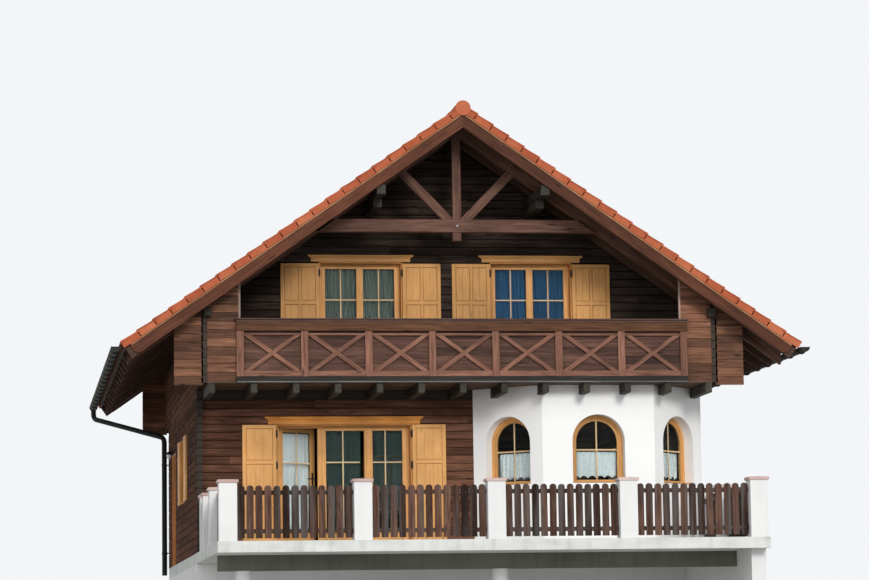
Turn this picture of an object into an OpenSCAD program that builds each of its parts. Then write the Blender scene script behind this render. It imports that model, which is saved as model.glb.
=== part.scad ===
// Two-storey alpine log chalet on an exposed masonry basement, with a railed
// terrace, a bay with arched windows and braced balconies under a gable roof.
// The front faces -Y, +Z is up, the origin is the centre of the house plan
// at the foot of the basement walls. Millimetres.

/* [House body] */
// length of the house from front wall face to rear wall face
house_l = 8800; // [7800:100:10000]
// half width over the outer faces of the side walls
half_w = 4550; // [4300:10:4800]
// thickness of the log walls
log_t = 100; // [80:5:140]
// thickness of the insulation and boarding behind the logs
lining_t = 140; // [100:5:180]
// height of one log course
log_h = 145; // [135:1:160]
// height of the basement, lowest ground to the terrace top
base_h = 2500; // [2300:50:2800]
// thickness of the basement walls
base_t = 300; // [240:10:365]
// height of the balcony joists' underside above the terrace
storey_h = 2690; // [2600:10:2800]
// depth of the balcony joists and of the upper floor
joist_h = 175; // [160:5:200]

/* [Roof] */
// roof pitch in degrees
pitch = 35.1; // [33:0.1:37]
// height of the tiled slopes' meeting line above the terrace
ridge_h = 7732; // [7500:10:7900]
// half width of the tiled roof
roof_half = 5960; // [5700:10:6200]
// overhang of the roof beyond the front and rear walls
overhang = 1880; // [1750:10:2000]
// thickness of the tile layer, square to the slope
tile_t = 80; // [60:5:100]
// thickness of the boarding and battens, square to the slope
deck_t = 65; // [50:5:80]
// depth of the rafters, square to the slope
rafter_h = 205; // [160:5:220]
// thickness of the barge boards
barge_t = 40; // [30:1:50]

/* [Balconies] */
// distance of the balcony front from the wall
balcony_d = 1410; // [1300:10:1450]
// spacing of the railing posts
rail_pitch = 1117; // [1100:1:1120]
// height of the railing above the deck
rail_h = 1120; // [1000:10:1150]
// spacing of the joists
joist_pitch = 729; // [700:1:735]

/* [Bay] */
// centre of the bay from the middle of the house
bay_x = 2470; // [2400:10:2500]
// width of the bay's front facet
bay_front_w = 2010; // [1900:10:2100]
// projection of the bay from the log wall
bay_d = 1000; // [900:10:1050]
// thickness of the bay's masonry
bay_t = 280; // [240:5:300]
// width of the arched windows
arch_w = 940; // [880:5:960]
// height of the window sills above the terrace
arch_sill = 1140; // [1000:10:1200]
// height of the arched windows
arch_hgt = 1205; // [1100:5:1250]

/* [Terrace] */
// distance of the terrace edge from the wall
terrace_d = 5280; // [4800:20:5600]
// thickness of the terrace slab
slab_t = 180; // [160:5:200]
// spacing of the front posts
post_pitch = 2165; // [2100:5:2200]
// width of a square post
post_w = 290; // [250:5:300]
// height of a post without its cap
post_h = 930; // [850:5:1000]

/* [Doors] */
// width of the terrace door group
tdoor_w = 2414; // [2300:2:2500]
// height of the terrace door opening
tdoor_h = 2260; // [2200:5:2300]
// width of the group's swinging part
tdoor_split = 744; // [700:1:760]
// angle at which the terrace door leaf stands open
tdoor_open = 25; // [0:1:60]
// width of the entrance opening in the side wall
edoor_w = 1150; // [1050:10:1200]
// height of the entrance opening
edoor_h = 2200; // [2100:10:2250]

/* [Hidden] */
$fn = 48;
eps = 1;
tz = base_h;                                  // terrace top above the ground
up_z = tz + storey_h;                         // underside of the joists
up_top = up_z + joist_h;                      // top of the upper floor
deck_b = 40;                                  // thickness of the deck boards
rail_x = 25;                                  // the railings sit this far to the right
tanp = tan(pitch);
cosp = cos(pitch);
sinp = sin(pitch);
roof_d = tile_t + deck_t + rafter_h;          // roof depth square to slope
y_front = -overhang;
y_rear = house_l + overhang;
bay_half = half_w - bay_x;                    // half width at the bay's root
tdoor_x = -1927;                              // centre of the terrace doors
edoor_y = house_l - 1800;                     // centre of the entrance
seat = 0.3;                                   // play between seated pieces
wall_t = log_t + lining_t;
reveal = wall_t - 75;                         // doors and windows lie this far behind the logs' face
board_t = 22;                                 // boards lining the reveals
terrace_x = -60;                              // centre line of the terrace
terrace_w = 4 * post_pitch + post_w + 50;     // width of the terrace slab
side_wall_t = 250;                            // wall under the terrace's right edge
side_wall_x = terrace_x + terrace_w / 2 - side_wall_t;
beam_w = 250;                                 // beam under the terrace slab
beam_h = 255;
beam_y = 1330 - terrace_d;
column_d = 270;
column_x = [for (f = [-0.442, 0.03]) terrace_x + f * terrace_w];
fence_top = 890;
fence_bot = 45;
picket_w = 115;
picket_t = 22;
picket_pitch = 145;
side_post_y = [30 - terrace_d, -0.578 * terrace_d, -0.275 * terrace_d, -780];
win_w = 1490;                                 // width of a balcony door
win_xs = [-1604, 1482];                       // their centres
lintel_over = 210;                            // lintel beyond an opening
win_h = rz(max(win_xs) + win_w / 2 + lintel_over, roof_d) - 426;  // top of a balcony door
sw_w = 1200;                                  // width of a side window
sw_h = 1200;                                  // its height
sw_sill = 1080;                               // its sill above the ground floor
side_win_y = [house_l / 2 - 500, house_l - 2200];
rear_win_x = [for (f = [-0.53, 0, 0.53]) f * half_w];
frame_t = 70;                                 // depth of window frames
balcony_f = 120;                              // uprights of the balcony doors
terrace_f = 150;                              // uprights of the terrace doors
side_f = 75;                                  // members of the side windows
door_foot = 400;                              // panel at the foot of a door
leaf_top = 75;
bay_reveal = bay_t - 90;                      // arched windows lie this far behind the bay's face
bay_f = 105;                                  // width of their frames
bay_foot = 60;
balcony_top = 107;
tleaf_w = tdoor_split - 2;                    // terrace door leaf, lapping its frame
tleaf_h = tdoor_h - 54;
tleaf_f = 85;
gl_t = 16;                                    // thickness of the glazing
purlin_x = 1444;
purlin_w = 160;
purlin_h = 175;
eave_px = 4445;
truss_y = -1030;                              // face of the gable truss
truss_t = 140;
tie_z = tz + ridge_h - 2165;                  // underside of its tie beam
rafter_in = 400;                              // first rafter inside the wall
rafter_out = 390;                             // flying rafter outside it
rafter_ys = concat([-rafter_out], [for (i = [0:10]) rafter_in + i * (house_l - 2 * rafter_in) / 10], [house_l + rafter_out]);
ridge_r = 135;                                // ridge caps
ridge_drop = 95;                              // their centre below the slopes' meeting line
verge_d = 140;                                // depth of the verge tiles' flange
verge_t = 35;

// the node to draw

// height of a plane at depth d below the tiles' top face
function rz(x, d) = tz + ridge_h - tanp * abs(x) - d / cosp;

// everything is drawn from the front wall face and moved to the plan's centre
module place() {
    translate([0, -house_l / 2, 0]) children();
}

// a copy at the front and a mirrored one at the rear
module both_ends() {
    children();
    translate([0, house_l, 0]) mirror([0, 1, 0]) children();
}

// a copy at the right and a mirrored one at the left
module both_sides() {
    children();
    mirror([1, 0, 0]) children();
}

// wall of n logs and thickness t, outer face at 0 with a V joint at every course
function log_pts(n, h, t) = concat(
    [[t, 0], [0, 0]],
    [for (i = [1:n - 1]) each [[0, i * h - jv(i)], [jv(i), i * h], [0, i * h + jv(i)]]],
    [[0, n * h], [t, n * h]]);
function jv(i) = i % 2 == 0 ? 14 : 8;

// log wall along X, its outer face towards -Y
module logs_x(x0, x1, z0, z1) {
    n = round((z1 - z0) / log_h);
    translate([x0, 0, z0]) rotate([90, 0, 90]) linear_extrude(x1 - x0) polygon(log_pts(n, (z1 - z0) / n, wall_t));
}

// log wall along Y, its outer face towards -X; its logs run out past the
// walls across, its lining stops between them
module logs_y(y0, y1, z0, z1) {
    n = round((z1 - z0) / log_h);
    a = max(y0, wall_t);
    b = min(y1, house_l - wall_t);
    translate([-half_w, y1, z0]) rotate([90, 0, 0]) linear_extrude(y1 - y0) polygon(log_pts(n, (z1 - z0) / n, log_t));
    translate([log_t - half_w - eps, a, z0]) cube([lining_t + eps, b - a, z1 - z0]);
}

// upright prism under the roof plane at depth d, between y0 and y1
module under_roof(d, y0, y1) {
    h = rz(0, d);
    w = roof_half + 500;
    translate([0, y1, 0]) rotate([90, 0, 0]) linear_extrude(y1 - y0)
        polygon([[-w, 0], [w, 0], [w, rz(w, d)], [0, h], [-w, rz(w, d)]]);
}

// layer of the roof between two depths, with its eaves cut square
module roof_layer(d1, d2, xe, y0, y1) {
    dx = (d2 - d1) * sinp;
    dz = (d2 - d1) * cosp;
    translate([0, y1, 0]) rotate([90, 0, 0]) linear_extrude(y1 - y0)
        polygon([[0, rz(0, d1)], [xe, rz(xe, d1)], [xe - dx, rz(xe, d1) - dz], [0, rz(0, d2)],
                 [-xe + dx, rz(xe, d1) - dz], [-xe, rz(xe, d1)]]);
}

module basement_floor() {
    color("#b9b7b0") place() translate([-half_w + base_t, base_t, 0]) cube([2 * (half_w - base_t), house_l - 2 * base_t, 150]);
}

module basement_walls() {
    color("#eceae4") place() difference() {
        translate([-half_w, 0, 0]) cube([2 * half_w, house_l, tz - 200]);
        translate([-half_w + base_t, base_t, -eps]) cube([2 * (half_w - base_t), house_l - 2 * base_t, tz]);
    }
}

// plan of the bay, d moves its faces inwards
module bay_plan(d) {
    a = bay_front_w / 2 - d * tan(22.5);
    b = bay_half - d;
    polygon([[bay_x - b, bay_t], [bay_x - b, 0], [bay_x - a, -bay_d + d], [bay_x + a, -bay_d + d], [bay_x + b, 0], [bay_x + b, bay_t]]);
}

module ground_floor() {
    color("#b9b7b0") place() translate([-half_w, 0, tz - 200]) cube([2 * half_w, house_l, 200]);
}

module terrace_slab() {
    color("#b5b9ad") place() translate([terrace_x - terrace_w / 2, -terrace_d, tz - slab_t]) cube([terrace_w, terrace_d, slab_t]);
}

module terrace_beam() {
    x0 = terrace_x - terrace_w / 2 + 100;
    color("#eceae4") place() translate([x0, beam_y, tz - slab_t - beam_h]) cube([side_wall_x - x0, beam_w, beam_h]);
}

module terrace_columns() {
    color("#eceae4") place() for (x = column_x)
        translate([x, beam_y + beam_w / 2, 0]) cylinder(h = tz - slab_t - beam_h, d = column_d);
}

module terrace_side_wall() {
    color("#eceae4") place() translate([side_wall_x, 330 - terrace_d, 0]) cube([side_wall_t, terrace_d - 330, tz - slab_t]);
}

module post_places() {
    for (i = [-2:2]) translate([terrace_x + i * post_pitch, side_post_y[0], tz]) children();
    for (s = [-2, 2], k = [1:3]) translate([terrace_x + s * post_pitch, side_post_y[k], tz]) children();
}

module terrace_posts() {
    color("#efede8") place() post_places() translate([-post_w / 2, 0, 0]) cube([post_w, post_w, post_h]);
}

module post_caps() {
    color("#c98f80") place() post_places() translate([-post_w / 2 - 25, -25, post_h]) cube([post_w + 50, post_w + 50, 48]);
}

// one bay of fence of length l along X, rails behind the pickets, whose
// heads are cut to a round in five strokes
module fence_bay(l) {
    n = round(l / picket_pitch);
    w = picket_w / 2;
    for (z = [fence_bot + 78, fence_top - 151]) translate([0, 0, z]) cube([l, 45, 70]);
    for (i = [0:n - 1]) translate([(i + 0.5) * l / n, 0, 0]) rotate([90, 0, 0]) linear_extrude(picket_t)
        polygon([[-w, fence_bot], [w, fence_bot], [w, fence_top - 0.9 * w], [0.83 * w, fence_top - 0.4 * w], [0.45 * w, fence_top],
                 [-0.45 * w, fence_top], [-0.83 * w, fence_top - 0.4 * w], [-w, fence_top - 0.9 * w]]);
}

module fence_front() {
    color("#4a3226") place() for (i = [-2:1])
        translate([terrace_x + i * post_pitch + post_w / 2, side_post_y[0] + post_w / 2, tz])
            fence_bay(post_pitch - post_w);
}

module fence_sides() {
    color("#4a3226") place() for (s = [-2, 2], k = [0:2]) {
        l = side_post_y[k + 1] - side_post_y[k] - post_w;
        translate([terrace_x + s * post_pitch, side_post_y[k] + post_w, tz])
            rotate([0, 0, 90]) mirror([0, s < 0 ? 1 : 0, 0]) mirror([0, 1, 0]) fence_bay(l);
    }
}

module front_logs_left() {
    color("#5d3a2a") place() logs_x(-half_w + log_t, tdoor_x - tdoor_w / 2, tz, up_z);
}

module front_logs_right() {
    color("#5d3a2a") place() logs_x(tdoor_x + tdoor_w / 2, bay_x - bay_half, tz, up_z);
}

module front_logs_over() {
    color("#5d3a2a") place() intersection() {
        logs_x(tdoor_x - tdoor_w / 2, tdoor_x + tdoor_w / 2, tz, up_z);
        translate([tdoor_x - tdoor_w / 2, -10, tz + tdoor_h]) cube([tdoor_w, wall_t + 20, storey_h]);
    }
}

// arch-headed solid, foot at the origin, run along -Y
module arch(w, h, d) {
    rotate([90, 0, 0]) linear_extrude(d) union() {
        translate([-w / 2, 0]) square([w, h - w / 2]);
        translate([0, h - w / 2]) circle(d = w);
    }
}

bay_ang = atan2(bay_d, bay_half - bay_front_w / 2);
// the three facets of the bay: x, y, turn
facets = [[bay_x, -bay_d, 0],
          [bay_x - (bay_half + bay_front_w / 2) / 2, -bay_d / 2, -bay_ang],
          [bay_x + (bay_half + bay_front_w / 2) / 2, -bay_d / 2, bay_ang]];

module at_facets() {
    for (f = facets) translate([f[0], f[1], tz + arch_sill]) rotate([0, 0, f[2]]) children();
}

module bay_wall() {
    color("#efede8") place() difference() {
        translate([0, 0, tz]) linear_extrude(storey_h) difference() {
            bay_plan(0);
            bay_plan(bay_t);
            translate([bay_x - half_w, bay_t - eps]) square([2 * half_w, 10]);
        }
        at_facets() translate([0, bay_t + 200, 0]) arch(arch_w, arch_hgt, bay_t + 400);
    }
}

module left_logs_front() {
    color("#5d3a2a") place() difference() {
        logs_y(-110, edoor_y - edoor_w / 2, tz, up_z);
        translate([-half_w - 50, side_win_y[0] - sw_w / 2, tz + sw_sill]) cube([wall_t + 100, sw_w, sw_h]);
    }
}

module left_logs_rear() {
    color("#5d3a2a") place() logs_y(edoor_y + edoor_w / 2, house_l + 110, tz, up_z);
}

module left_logs_over() {
    color("#5d3a2a") place() intersection() {
        logs_y(edoor_y - edoor_w / 2, edoor_y + edoor_w / 2, tz, up_z);
        translate([-half_w - 50, edoor_y - edoor_w / 2, tz + edoor_h]) cube([wall_t + 100, edoor_w, storey_h]);
    }
}

module right_logs() {
    color("#5d3a2a") place() difference() {
        mirror([1, 0, 0]) logs_y(bay_t, house_l + 110, tz, up_z);
        for (y = side_win_y) translate([half_w - wall_t - 50, y - sw_w / 2, tz + sw_sill]) cube([wall_t + 100, sw_w, sw_h]);
    }
}

module rear_logs() {
    color("#5d3a2a") place() translate([0, house_l, 0]) mirror([0, 1, 0]) difference() {
        logs_x(-half_w + log_t, half_w - log_t, tz, up_z);
        for (x = rear_win_x) translate([x - sw_w / 2, -50, tz + sw_sill]) cube([sw_w, wall_t + 100, sw_h]);
    }
}

module upper_floor() {
    color("#8a6a4c") place() translate([-half_w, 0, up_z]) cube([2 * half_w, house_l, joist_h]);
}

module upper_side_logs() {
    z1 = rz(eave_px, roof_d) - 160;
    color("#5d3a2a") place() both_sides() logs_y(-balcony_d, house_l + balcony_d, up_top, z1);
}

module gable_wall() {
    intersection() {
        logs_x(-half_w + log_t, half_w - log_t, up_top, tz + ridge_h);
        under_roof(tile_t + deck_t + seat, -10, wall_t + 10);
    }
}

module gable_with_doors() {
    difference() {
        gable_wall();
        for (x = win_xs) translate([x - win_w / 2, -50, up_top]) cube([win_w, wall_t + 100, win_h - up_top]);
        purlin_run();
    }
}

module gable_front() {
    color("#4c3024") place() gable_with_doors();
}

module gable_rear() {
    color("#4c3024") place() translate([0, house_l, 0]) mirror([0, 1, 0]) gable_with_doors();
}

module balcony_joists() {
    color("#55503f") place() both_ends() for (i = [-6:6])
        translate([i * joist_pitch - 58, -balcony_d - 50, up_z]) cube([116, balcony_d + 50, joist_h]);
}

module balcony_decks() {
    color("#6b4a34") place() both_ends()
        translate([-half_w + log_t, -balcony_d, up_top]) cube([2 * (half_w - log_t), balcony_d, deck_b]);
}

// one bay of the railing with crossed braces over horizontal boards
module rail_bay(l, h) {
    foot = 96;
    head = 40;
    translate([0, 50, -70]) cube([l, 22, h + 110]);
    cube([l, 50, foot]);
    translate([0, 0, h - head]) cube([l, 50, head]);
    intersection() {
        cube([l, 60, h]);
        for (s = [0, 1]) translate([l / 2, 4 + s, (foot + h - head) / 2]) mirror([s, 0, 0]) rotate([0, -atan2(h - foot - head - 50, l), 0])
            translate([-l, 0, -38]) cube([2 * l, 52, 76]);
    }
}

module balcony_rail() {
    z0 = up_top + deck_b;
    x0 = 3.5 * rail_pitch;
    ph = rail_h - deck_b - 30;
    translate([rail_x, -balcony_d - 72, z0]) {
        translate([-x0 - 63, -14, -deck_b]) cube([2 * x0 + 126, 86, deck_b + 6]);
        for (i = [0:7]) translate([-x0 + i * rail_pitch - 63, -10, 0]) cube([126, 82, ph]);
        for (i = [0:6]) translate([-x0 + i * rail_pitch + 63 - eps, 0, 72]) rail_bay(rail_pitch - 126 + 2 * eps, ph - 298);
        translate([-x0 - 63, -20, ph - 190]) cube([2 * x0 + 126, 92, 190]);
        translate([-x0 - 90, -40, ph]) cube([2 * x0 + 180, 112, 30]);
    }
}

module balcony_rails() {
    color("#6a4230") place() both_ends() balcony_rail();
}

module wing_screens() {
    screen_x = 3.5 * rail_pitch - 40;
    color("#7a4a30") place() difference() {
        both_ends() both_sides() intersection() {
            union() {
                translate([half_w, -balcony_d, up_z + 140]) cube([470, 60, 3000]);
                translate([screen_x, -balcony_d, up_top + deck_b]) cube([half_w - log_t - screen_x, 60, 3000]);
            }
            under_roof(tile_t + deck_t + seat, -balcony_d - 100, -balcony_d + 200);
        }
        purlin_run();
    }
}

// the four side purlins, which run through the gable walls, on their corbels
module side_purlins() {
    y0 = y_front + barge_t + seat;
    both_sides() {
        translate([purlin_x - purlin_w / 2, y0, rz(purlin_x, roof_d) - purlin_h]) cube([purlin_w, house_l - 2 * y0, purlin_h]);
        translate([eave_px - 70, -balcony_d - 130, rz(eave_px, roof_d) - 160]) cube([140, house_l + 2 * balcony_d + 260, 160]);
        for (y = [-1300, house_l]) translate([purlin_x - 75, y, rz(purlin_x, roof_d) - purlin_h - 150]) cube([150, 1300, 150]);
    }
}

module purlin_run() {
    side_purlins();
    translate([-purlin_w / 2, -890, rz(0, roof_d) - 230]) cube([purlin_w, house_l + 1780, 200]);
}

module purlins() {
    color("#55453a") place() purlin_run();
}

module truss() {
    roof_layer(tile_t + deck_t + seat, roof_d, roof_half - 90, truss_y, truss_y + truss_t);
    intersection() {
        union() {
            translate([-2600, truss_y, tie_z]) cube([5200, truss_t, 231]);
            translate([-82, truss_y, tie_z - 155]) cube([164, truss_t, 2200]);
            both_sides() translate([0, truss_y + 10, tie_z + 69]) rotate([0, -45.7, 0]) translate([0, 0, -80]) cube([1700, truss_t - 20, 160]);
        }
        under_roof(roof_d - rafter_h / 2, truss_y - 70, truss_y + 230);
    }
}

module gable_trusses() {
    color("#5a3a2a") place() difference() {
        both_ends() truss();
        side_purlins();
    }
}

module rafters() {
    color("#6b4a34") place() difference() {
        union() {
            for (y = rafter_ys) roof_layer(tile_t + deck_t + seat, roof_d, roof_half - 90, y - 50, y + 50);
            both_ends() roof_layer(tile_t + deck_t + seat, roof_d, roof_half - 90, y_front + barge_t + seat, y_front + barge_t + 100);
        }
        purlin_run();
    }
}

module roof_deck() {
    color("#8a6a4c") place() roof_layer(tile_t + seat, tile_t + deck_t, roof_half - 60, y_front + barge_t + seat, y_rear - barge_t - seat);
}

module roof_tiles() {
    color("#b4532f") place() {
        roof_layer(0, tile_t, roof_half, y_front - verge_t, y_rear + verge_t);
        both_ends() roof_layer(0, verge_d, roof_half, y_front - verge_t, y_front - seat);
        difference() {
            translate([0, y_rear + verge_t + 15, rz(0, 0) - ridge_drop]) rotate([90, 0, 0]) cylinder(h = y_rear - y_front + 2 * verge_t + 30, r = ridge_r);
            under_roof(tile_t - 20, y_front - 10, y_rear + 10);
        }
    }
}

module barge_boards() {
    color("#7a4a30") place() both_ends() roof_layer(tile_t + seat, roof_d + 5, roof_half - 80, y_front, y_front + barge_t);
}

module gutter() {
    translate([roof_half + 70, y_rear - 20, rz(roof_half, 0) - 90]) rotate([90, 0, 0]) linear_extrude(y_rear - y_front - 40) difference() {
        circle(r = 85);
        circle(r = 78);
        translate([-200, 0]) square([400, 200]);
    }
}

module pipe(p, q, r) {
    v = q - p;
    l = norm(v);
    translate(p) rotate([0, acos(v[2] / l), atan2(v[1], v[0])]) cylinder(h = l, r = r, $fn = 24);
}

module rainwater() {
    gx = roof_half + 70;
    gy = y_rear - 120;
    gz = rz(roof_half, 0) - 170;
    px = half_w + 90;
    py = house_l + 40;
    bz = rz(roof_half, 0) - 176;
    bx = roof_half - 90 + seat - (rz(roof_half - 90, tile_t + deck_t) - bz - 8) * tanp;
    color("#2b302f") place() both_sides() {
        gutter();
        for (i = [0:2:len(rafter_ys) - 1]) translate([bx, rafter_ys[i] - 15, bz]) cube([roof_half + 70 - bx, 30, 8]);
        for (z = [tz + 300, tz + 2100]) translate([half_w + seat, py - 15, z]) cube([60, 30, 20]);
        pipe([gx, gy, gz + 8], [gx, gy, gz - 212], 45);
        pipe([gx + 14, gy - 2, gz - 187], [px - 14, py + 2, gz - 483], 43);
        pipe([px, py, gz - 458], [px, py, tz - 150], 45);
    }
}

// frame around an opening w by h with n leaves, outer face at 0, along X;
// f is the width of its uprights, foot and top the depths of its rails
module leaf_frame(w, h, n, f, foot, top) {
    difference() {
        cube([w, frame_t, h]);
        for (i = [0:n - 1]) translate([i * (w - f) / n + f, -eps, foot]) cube([(w - f) / n - f, frame_t + 2 * eps, h - foot - top]);
    }
}

// boards lining an opening w by h from the wall's face back to its frame,
// with a board s thick at the sill
module lining(w, h, s) {
    difference() {
        translate([0, -reveal, 0]) cube([w, reveal + eps, h]);
        translate([board_t, -reveal - eps, s - eps]) cube([w - 2 * board_t, reveal + 3 * eps, h - board_t - s + eps]);
    }
}

module balcony_door_frames() {
    both_ends() for (x = win_xs) translate([x - win_w / 2, reveal, up_top + eps]) {
        leaf_frame(win_w, win_h - up_top - eps, 2, balcony_f, door_foot, balcony_top);
        lining(win_w, win_h - up_top - eps, 0);
    }
}

module bay_frames() {
    at_facets() translate([0, bay_reveal + frame_t, 0]) difference() {
        arch(arch_w, arch_hgt, frame_t);
        translate([0, eps, bay_foot]) arch(arch_w - 2 * bay_f, arch_hgt - bay_foot - bay_f, frame_t + 2 * eps);
    }
}

module side_frames() {
    at_side_windows() {
        leaf_frame(sw_w, sw_h, 2, side_f, side_f, side_f);
        lining(sw_w, sw_h, board_t);
    }
}

// the places of the windows in the side and rear walls
module at_side_windows() {
    translate([reveal - half_w, side_win_y[0] + sw_w / 2, tz + sw_sill]) rotate([0, 0, -90]) children();
    for (y = side_win_y) translate([half_w - reveal, y - sw_w / 2, tz + sw_sill]) rotate([0, 0, 90]) children();
    for (x = rear_win_x) translate([x + sw_w / 2, house_l - reveal, tz + sw_sill]) rotate([0, 0, 180]) children();
}

// terrace doors: lined reveal, jamb with its rebate, head and the two closed
// leaves
module terrace_frames() {
    translate([tdoor_x - tdoor_w / 2, reveal, tz]) {
        lining(tdoor_w, tdoor_h, 0);
        cube([60, frame_t, tdoor_h]);
        cube([26, hinge_y - reveal - 10, tdoor_h]);
        translate([0, 0, tdoor_h - 60]) cube([tdoor_w, frame_t, 60]);
        translate([tdoor_split, 0, 0]) leaf_frame(tdoor_w - tdoor_split, tdoor_h - 30, 2, terrace_f, door_foot, leaf_top);
    }
    translate([hinge_x, hinge_y, tz]) knuckles(-1, 0);
}

// hinge knuckles on an upright axis: plate towards s, raised by the half k
module knuckles(s, k) {
    for (z = [240, 1080, 1920]) translate([0, 0, z + k * 35.2]) {
        cylinder(h = 35, r = 9, $fn = 24);
        translate([s < 0 ? -34 : 0, -10.5, 0]) cube([34, 4, 35]);
    }
}

module entrance_frame() {
    translate([door_x, edoor_y, tz]) {
        translate([0, edoor_w / 2, 0]) rotate([0, 0, -90]) lining(edoor_w, edoor_h, 0);
        for (s = [-1, 1]) translate([0, s * (edoor_w / 2 - 35) - 35, 0]) cube([75, 70, edoor_h]);
        translate([0, -edoor_w / 2, edoor_h - 70]) cube([75, edoor_w, 70]);
    }
    translate([ehinge_x, ehinge_y, tz]) rotate([0, 0, -90]) knuckles(-1, 0);
}

module door_frames() {
    color("#c8863c") place() {
        terrace_frames();
        entrance_frame();
    }
}

module frames() {
    color("#c8863c") place() {
        balcony_door_frames();
        bay_frames();
        side_frames();
    }
}

// panes of a leaf frame, standing in the frame's depth
module panes(w, h, n, f, foot, top) {
    for (i = [0:n - 1]) translate([i * (w - f) / n + f, frame_t / 2, foot]) cube([(w - f) / n - f, gl_t, h - foot - top]);
}

module glass() {
    color("#9fb6bd") place() {
        both_ends() for (x = win_xs) translate([x - win_w / 2, reveal, up_top + eps]) panes(win_w, win_h - up_top - eps, 2, balcony_f, door_foot, balcony_top);
        at_facets() translate([0, bay_reveal + (frame_t + gl_t) / 2, bay_foot]) arch(arch_w - 2 * bay_f, arch_hgt - bay_foot - bay_f, gl_t);
        at_side_windows() panes(sw_w, sw_h, 2, side_f, side_f, side_f);
        translate([tdoor_x - tdoor_w / 2 + tdoor_split, reveal, tz]) panes(tdoor_w - tdoor_split, tdoor_h - 30, 2, terrace_f, door_foot, leaf_top);
    }
}

// panelled shutter w by h, its back face at 0, standing out to -Y
module shutter(w, h, n) {
    ph = (h - 70) / n - 70;
    difference() {
        translate([0, -38, 0]) cube([w, 38, h]);
        for (i = [0:n - 1]) translate([70, -38 - eps, 70 + i * (ph + 70)]) cube([w - 140, 12 + eps, ph]);
    }
}

module shutters() {
    color("#d08f45") place() {
        both_ends() for (x = win_xs, s = [-1, 1])
            translate([x + s * (win_w / 2 + 349) - 347, 0, up_top + deck_b + 10]) shutter(694, win_h - up_top - deck_b - 40, 3);
        for (s = [-1, 1]) translate([tdoor_x + s * (tdoor_w / 2 + 306) - 303, 0, tz + 20]) shutter(606, tdoor_h - 30, 3);
        for (y = [side_win_y[0] - sw_w / 2 - 605, side_win_y[0] + sw_w / 2 + 5]) translate([-half_w, y + 600, tz + sw_sill]) rotate([0, 0, -90]) shutter(600, sw_h, 2);
        for (yy = side_win_y, y = [yy - sw_w / 2 - 605, yy + sw_w / 2 + 5]) translate([half_w, y, tz + sw_sill]) rotate([0, 0, 90]) shutter(600, sw_h, 2);
        for (xx = rear_win_x, x = [xx - sw_w / 2 - 5, xx + sw_w / 2 + 605]) translate([x, house_l, tz + sw_sill]) rotate([0, 0, 180]) shutter(595, sw_h, 2);
    }
}

// crowned board over an opening, w long, its back face at 0
module lintel(w, h) {
    translate([-w / 2, 0, 0]) rotate([90, 0, 0]) linear_extrude(45)
        polygon([[60, 0], [w - 60, 0], [w - 60, 25], [w, h], [0, h], [60, 25]]);
}

module lintels() {
    color("#c8863c") place() {
        both_ends() for (x = win_xs) translate([x, 0, win_h]) lintel(win_w + 2 * lintel_over, 125);
        translate([tdoor_x, 0, tz + tdoor_h]) lintel(tdoor_w + 2 * lintel_over, 135);
    }
}

// the terrace door's swing: hinge line at the left jamb
hinge_x = tdoor_x - tdoor_w / 2 + 28;
hinge_y = reveal + frame_t + 76;
// the entrance's frame and its leaf's hinge line at the rear jamb
door_x = reveal - half_w;
ehinge_x = door_x + 85;
ehinge_y = edoor_y + edoor_w / 2 - 72;

module terrace_swing() {
    translate([hinge_x, hinge_y, tz]) rotate([0, 0, tdoor_open]) translate([0, -70, 0]) children();
}

module terrace_leaf() {
    color("#c8863c") place() terrace_swing() {
        difference() {
            translate([4, 0, 12]) cube([tleaf_w, 60, tleaf_h]);
            translate([4 + tleaf_f, -eps, door_foot]) cube([tleaf_w - 2 * tleaf_f, 62 + eps, tleaf_h - door_foot - leaf_top]);
        }
        translate([0, 70, 0]) knuckles(1, 1);
    }
}

module terrace_leaf_glass() {
    color("#9fb6bd") place() terrace_swing() translate([4 + tleaf_f, 22, door_foot]) cube([tleaf_w - 2 * tleaf_f, gl_t, tleaf_h - door_foot - leaf_top]);
}

module handle() {
    translate([-16, -8, -110]) cube([32, 8, 220]);
    translate([0, -8, 0]) rotate([90, 0, 0]) cylinder(h = 42, r = 10, $fn = 24);
    translate([-120, -56, -10]) cube([130, 14, 20]);
}

module terrace_handle() {
    color("#3a3a38") place() terrace_swing() translate([tleaf_w - 50, 0, 1050]) handle();
}

module entrance_leaf() {
    color("#b8702f") place() {
        translate([door_x + 15, edoor_y - edoor_w / 2 + 76, tz + 12]) difference() {
            cube([60, edoor_w - 152, edoor_h - 88]);
            for (z = [120, 780, 1440]) translate([-eps, 130, z]) cube([12 + eps, edoor_w - 152 - 260, 540]);
        }
        translate([ehinge_x, ehinge_y, tz]) rotate([0, 0, -90]) knuckles(1, 1);
    }
}

module entrance_handle() {
    color("#3a3a38") place() translate([door_x + 15, edoor_y - edoor_w / 2 + 76 + 60, tz + 1050])
        rotate([0, 0, -90]) handle();
}

basement_floor();
basement_walls();
ground_floor();
terrace_slab();
terrace_beam();
terrace_columns();
terrace_side_wall();
terrace_posts();
post_caps();
fence_front();
fence_sides();
front_logs_left();
front_logs_right();
front_logs_over();
bay_wall();
left_logs_front();
left_logs_rear();
left_logs_over();
right_logs();
rear_logs();
upper_floor();
upper_side_logs();
gable_front();
gable_rear();
balcony_joists();
balcony_decks();
balcony_rails();
wing_screens();
purlins();
gable_trusses();
rafters();
roof_deck();
roof_tiles();
barge_boards();
rainwater();
door_frames();
frames();
glass();
shutters();
lintels();
terrace_leaf();
terrace_leaf_glass();
terrace_handle();
entrance_leaf();
entrance_handle();
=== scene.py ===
import math
import random
import bpy
from mathutils import Matrix, Vector


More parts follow.
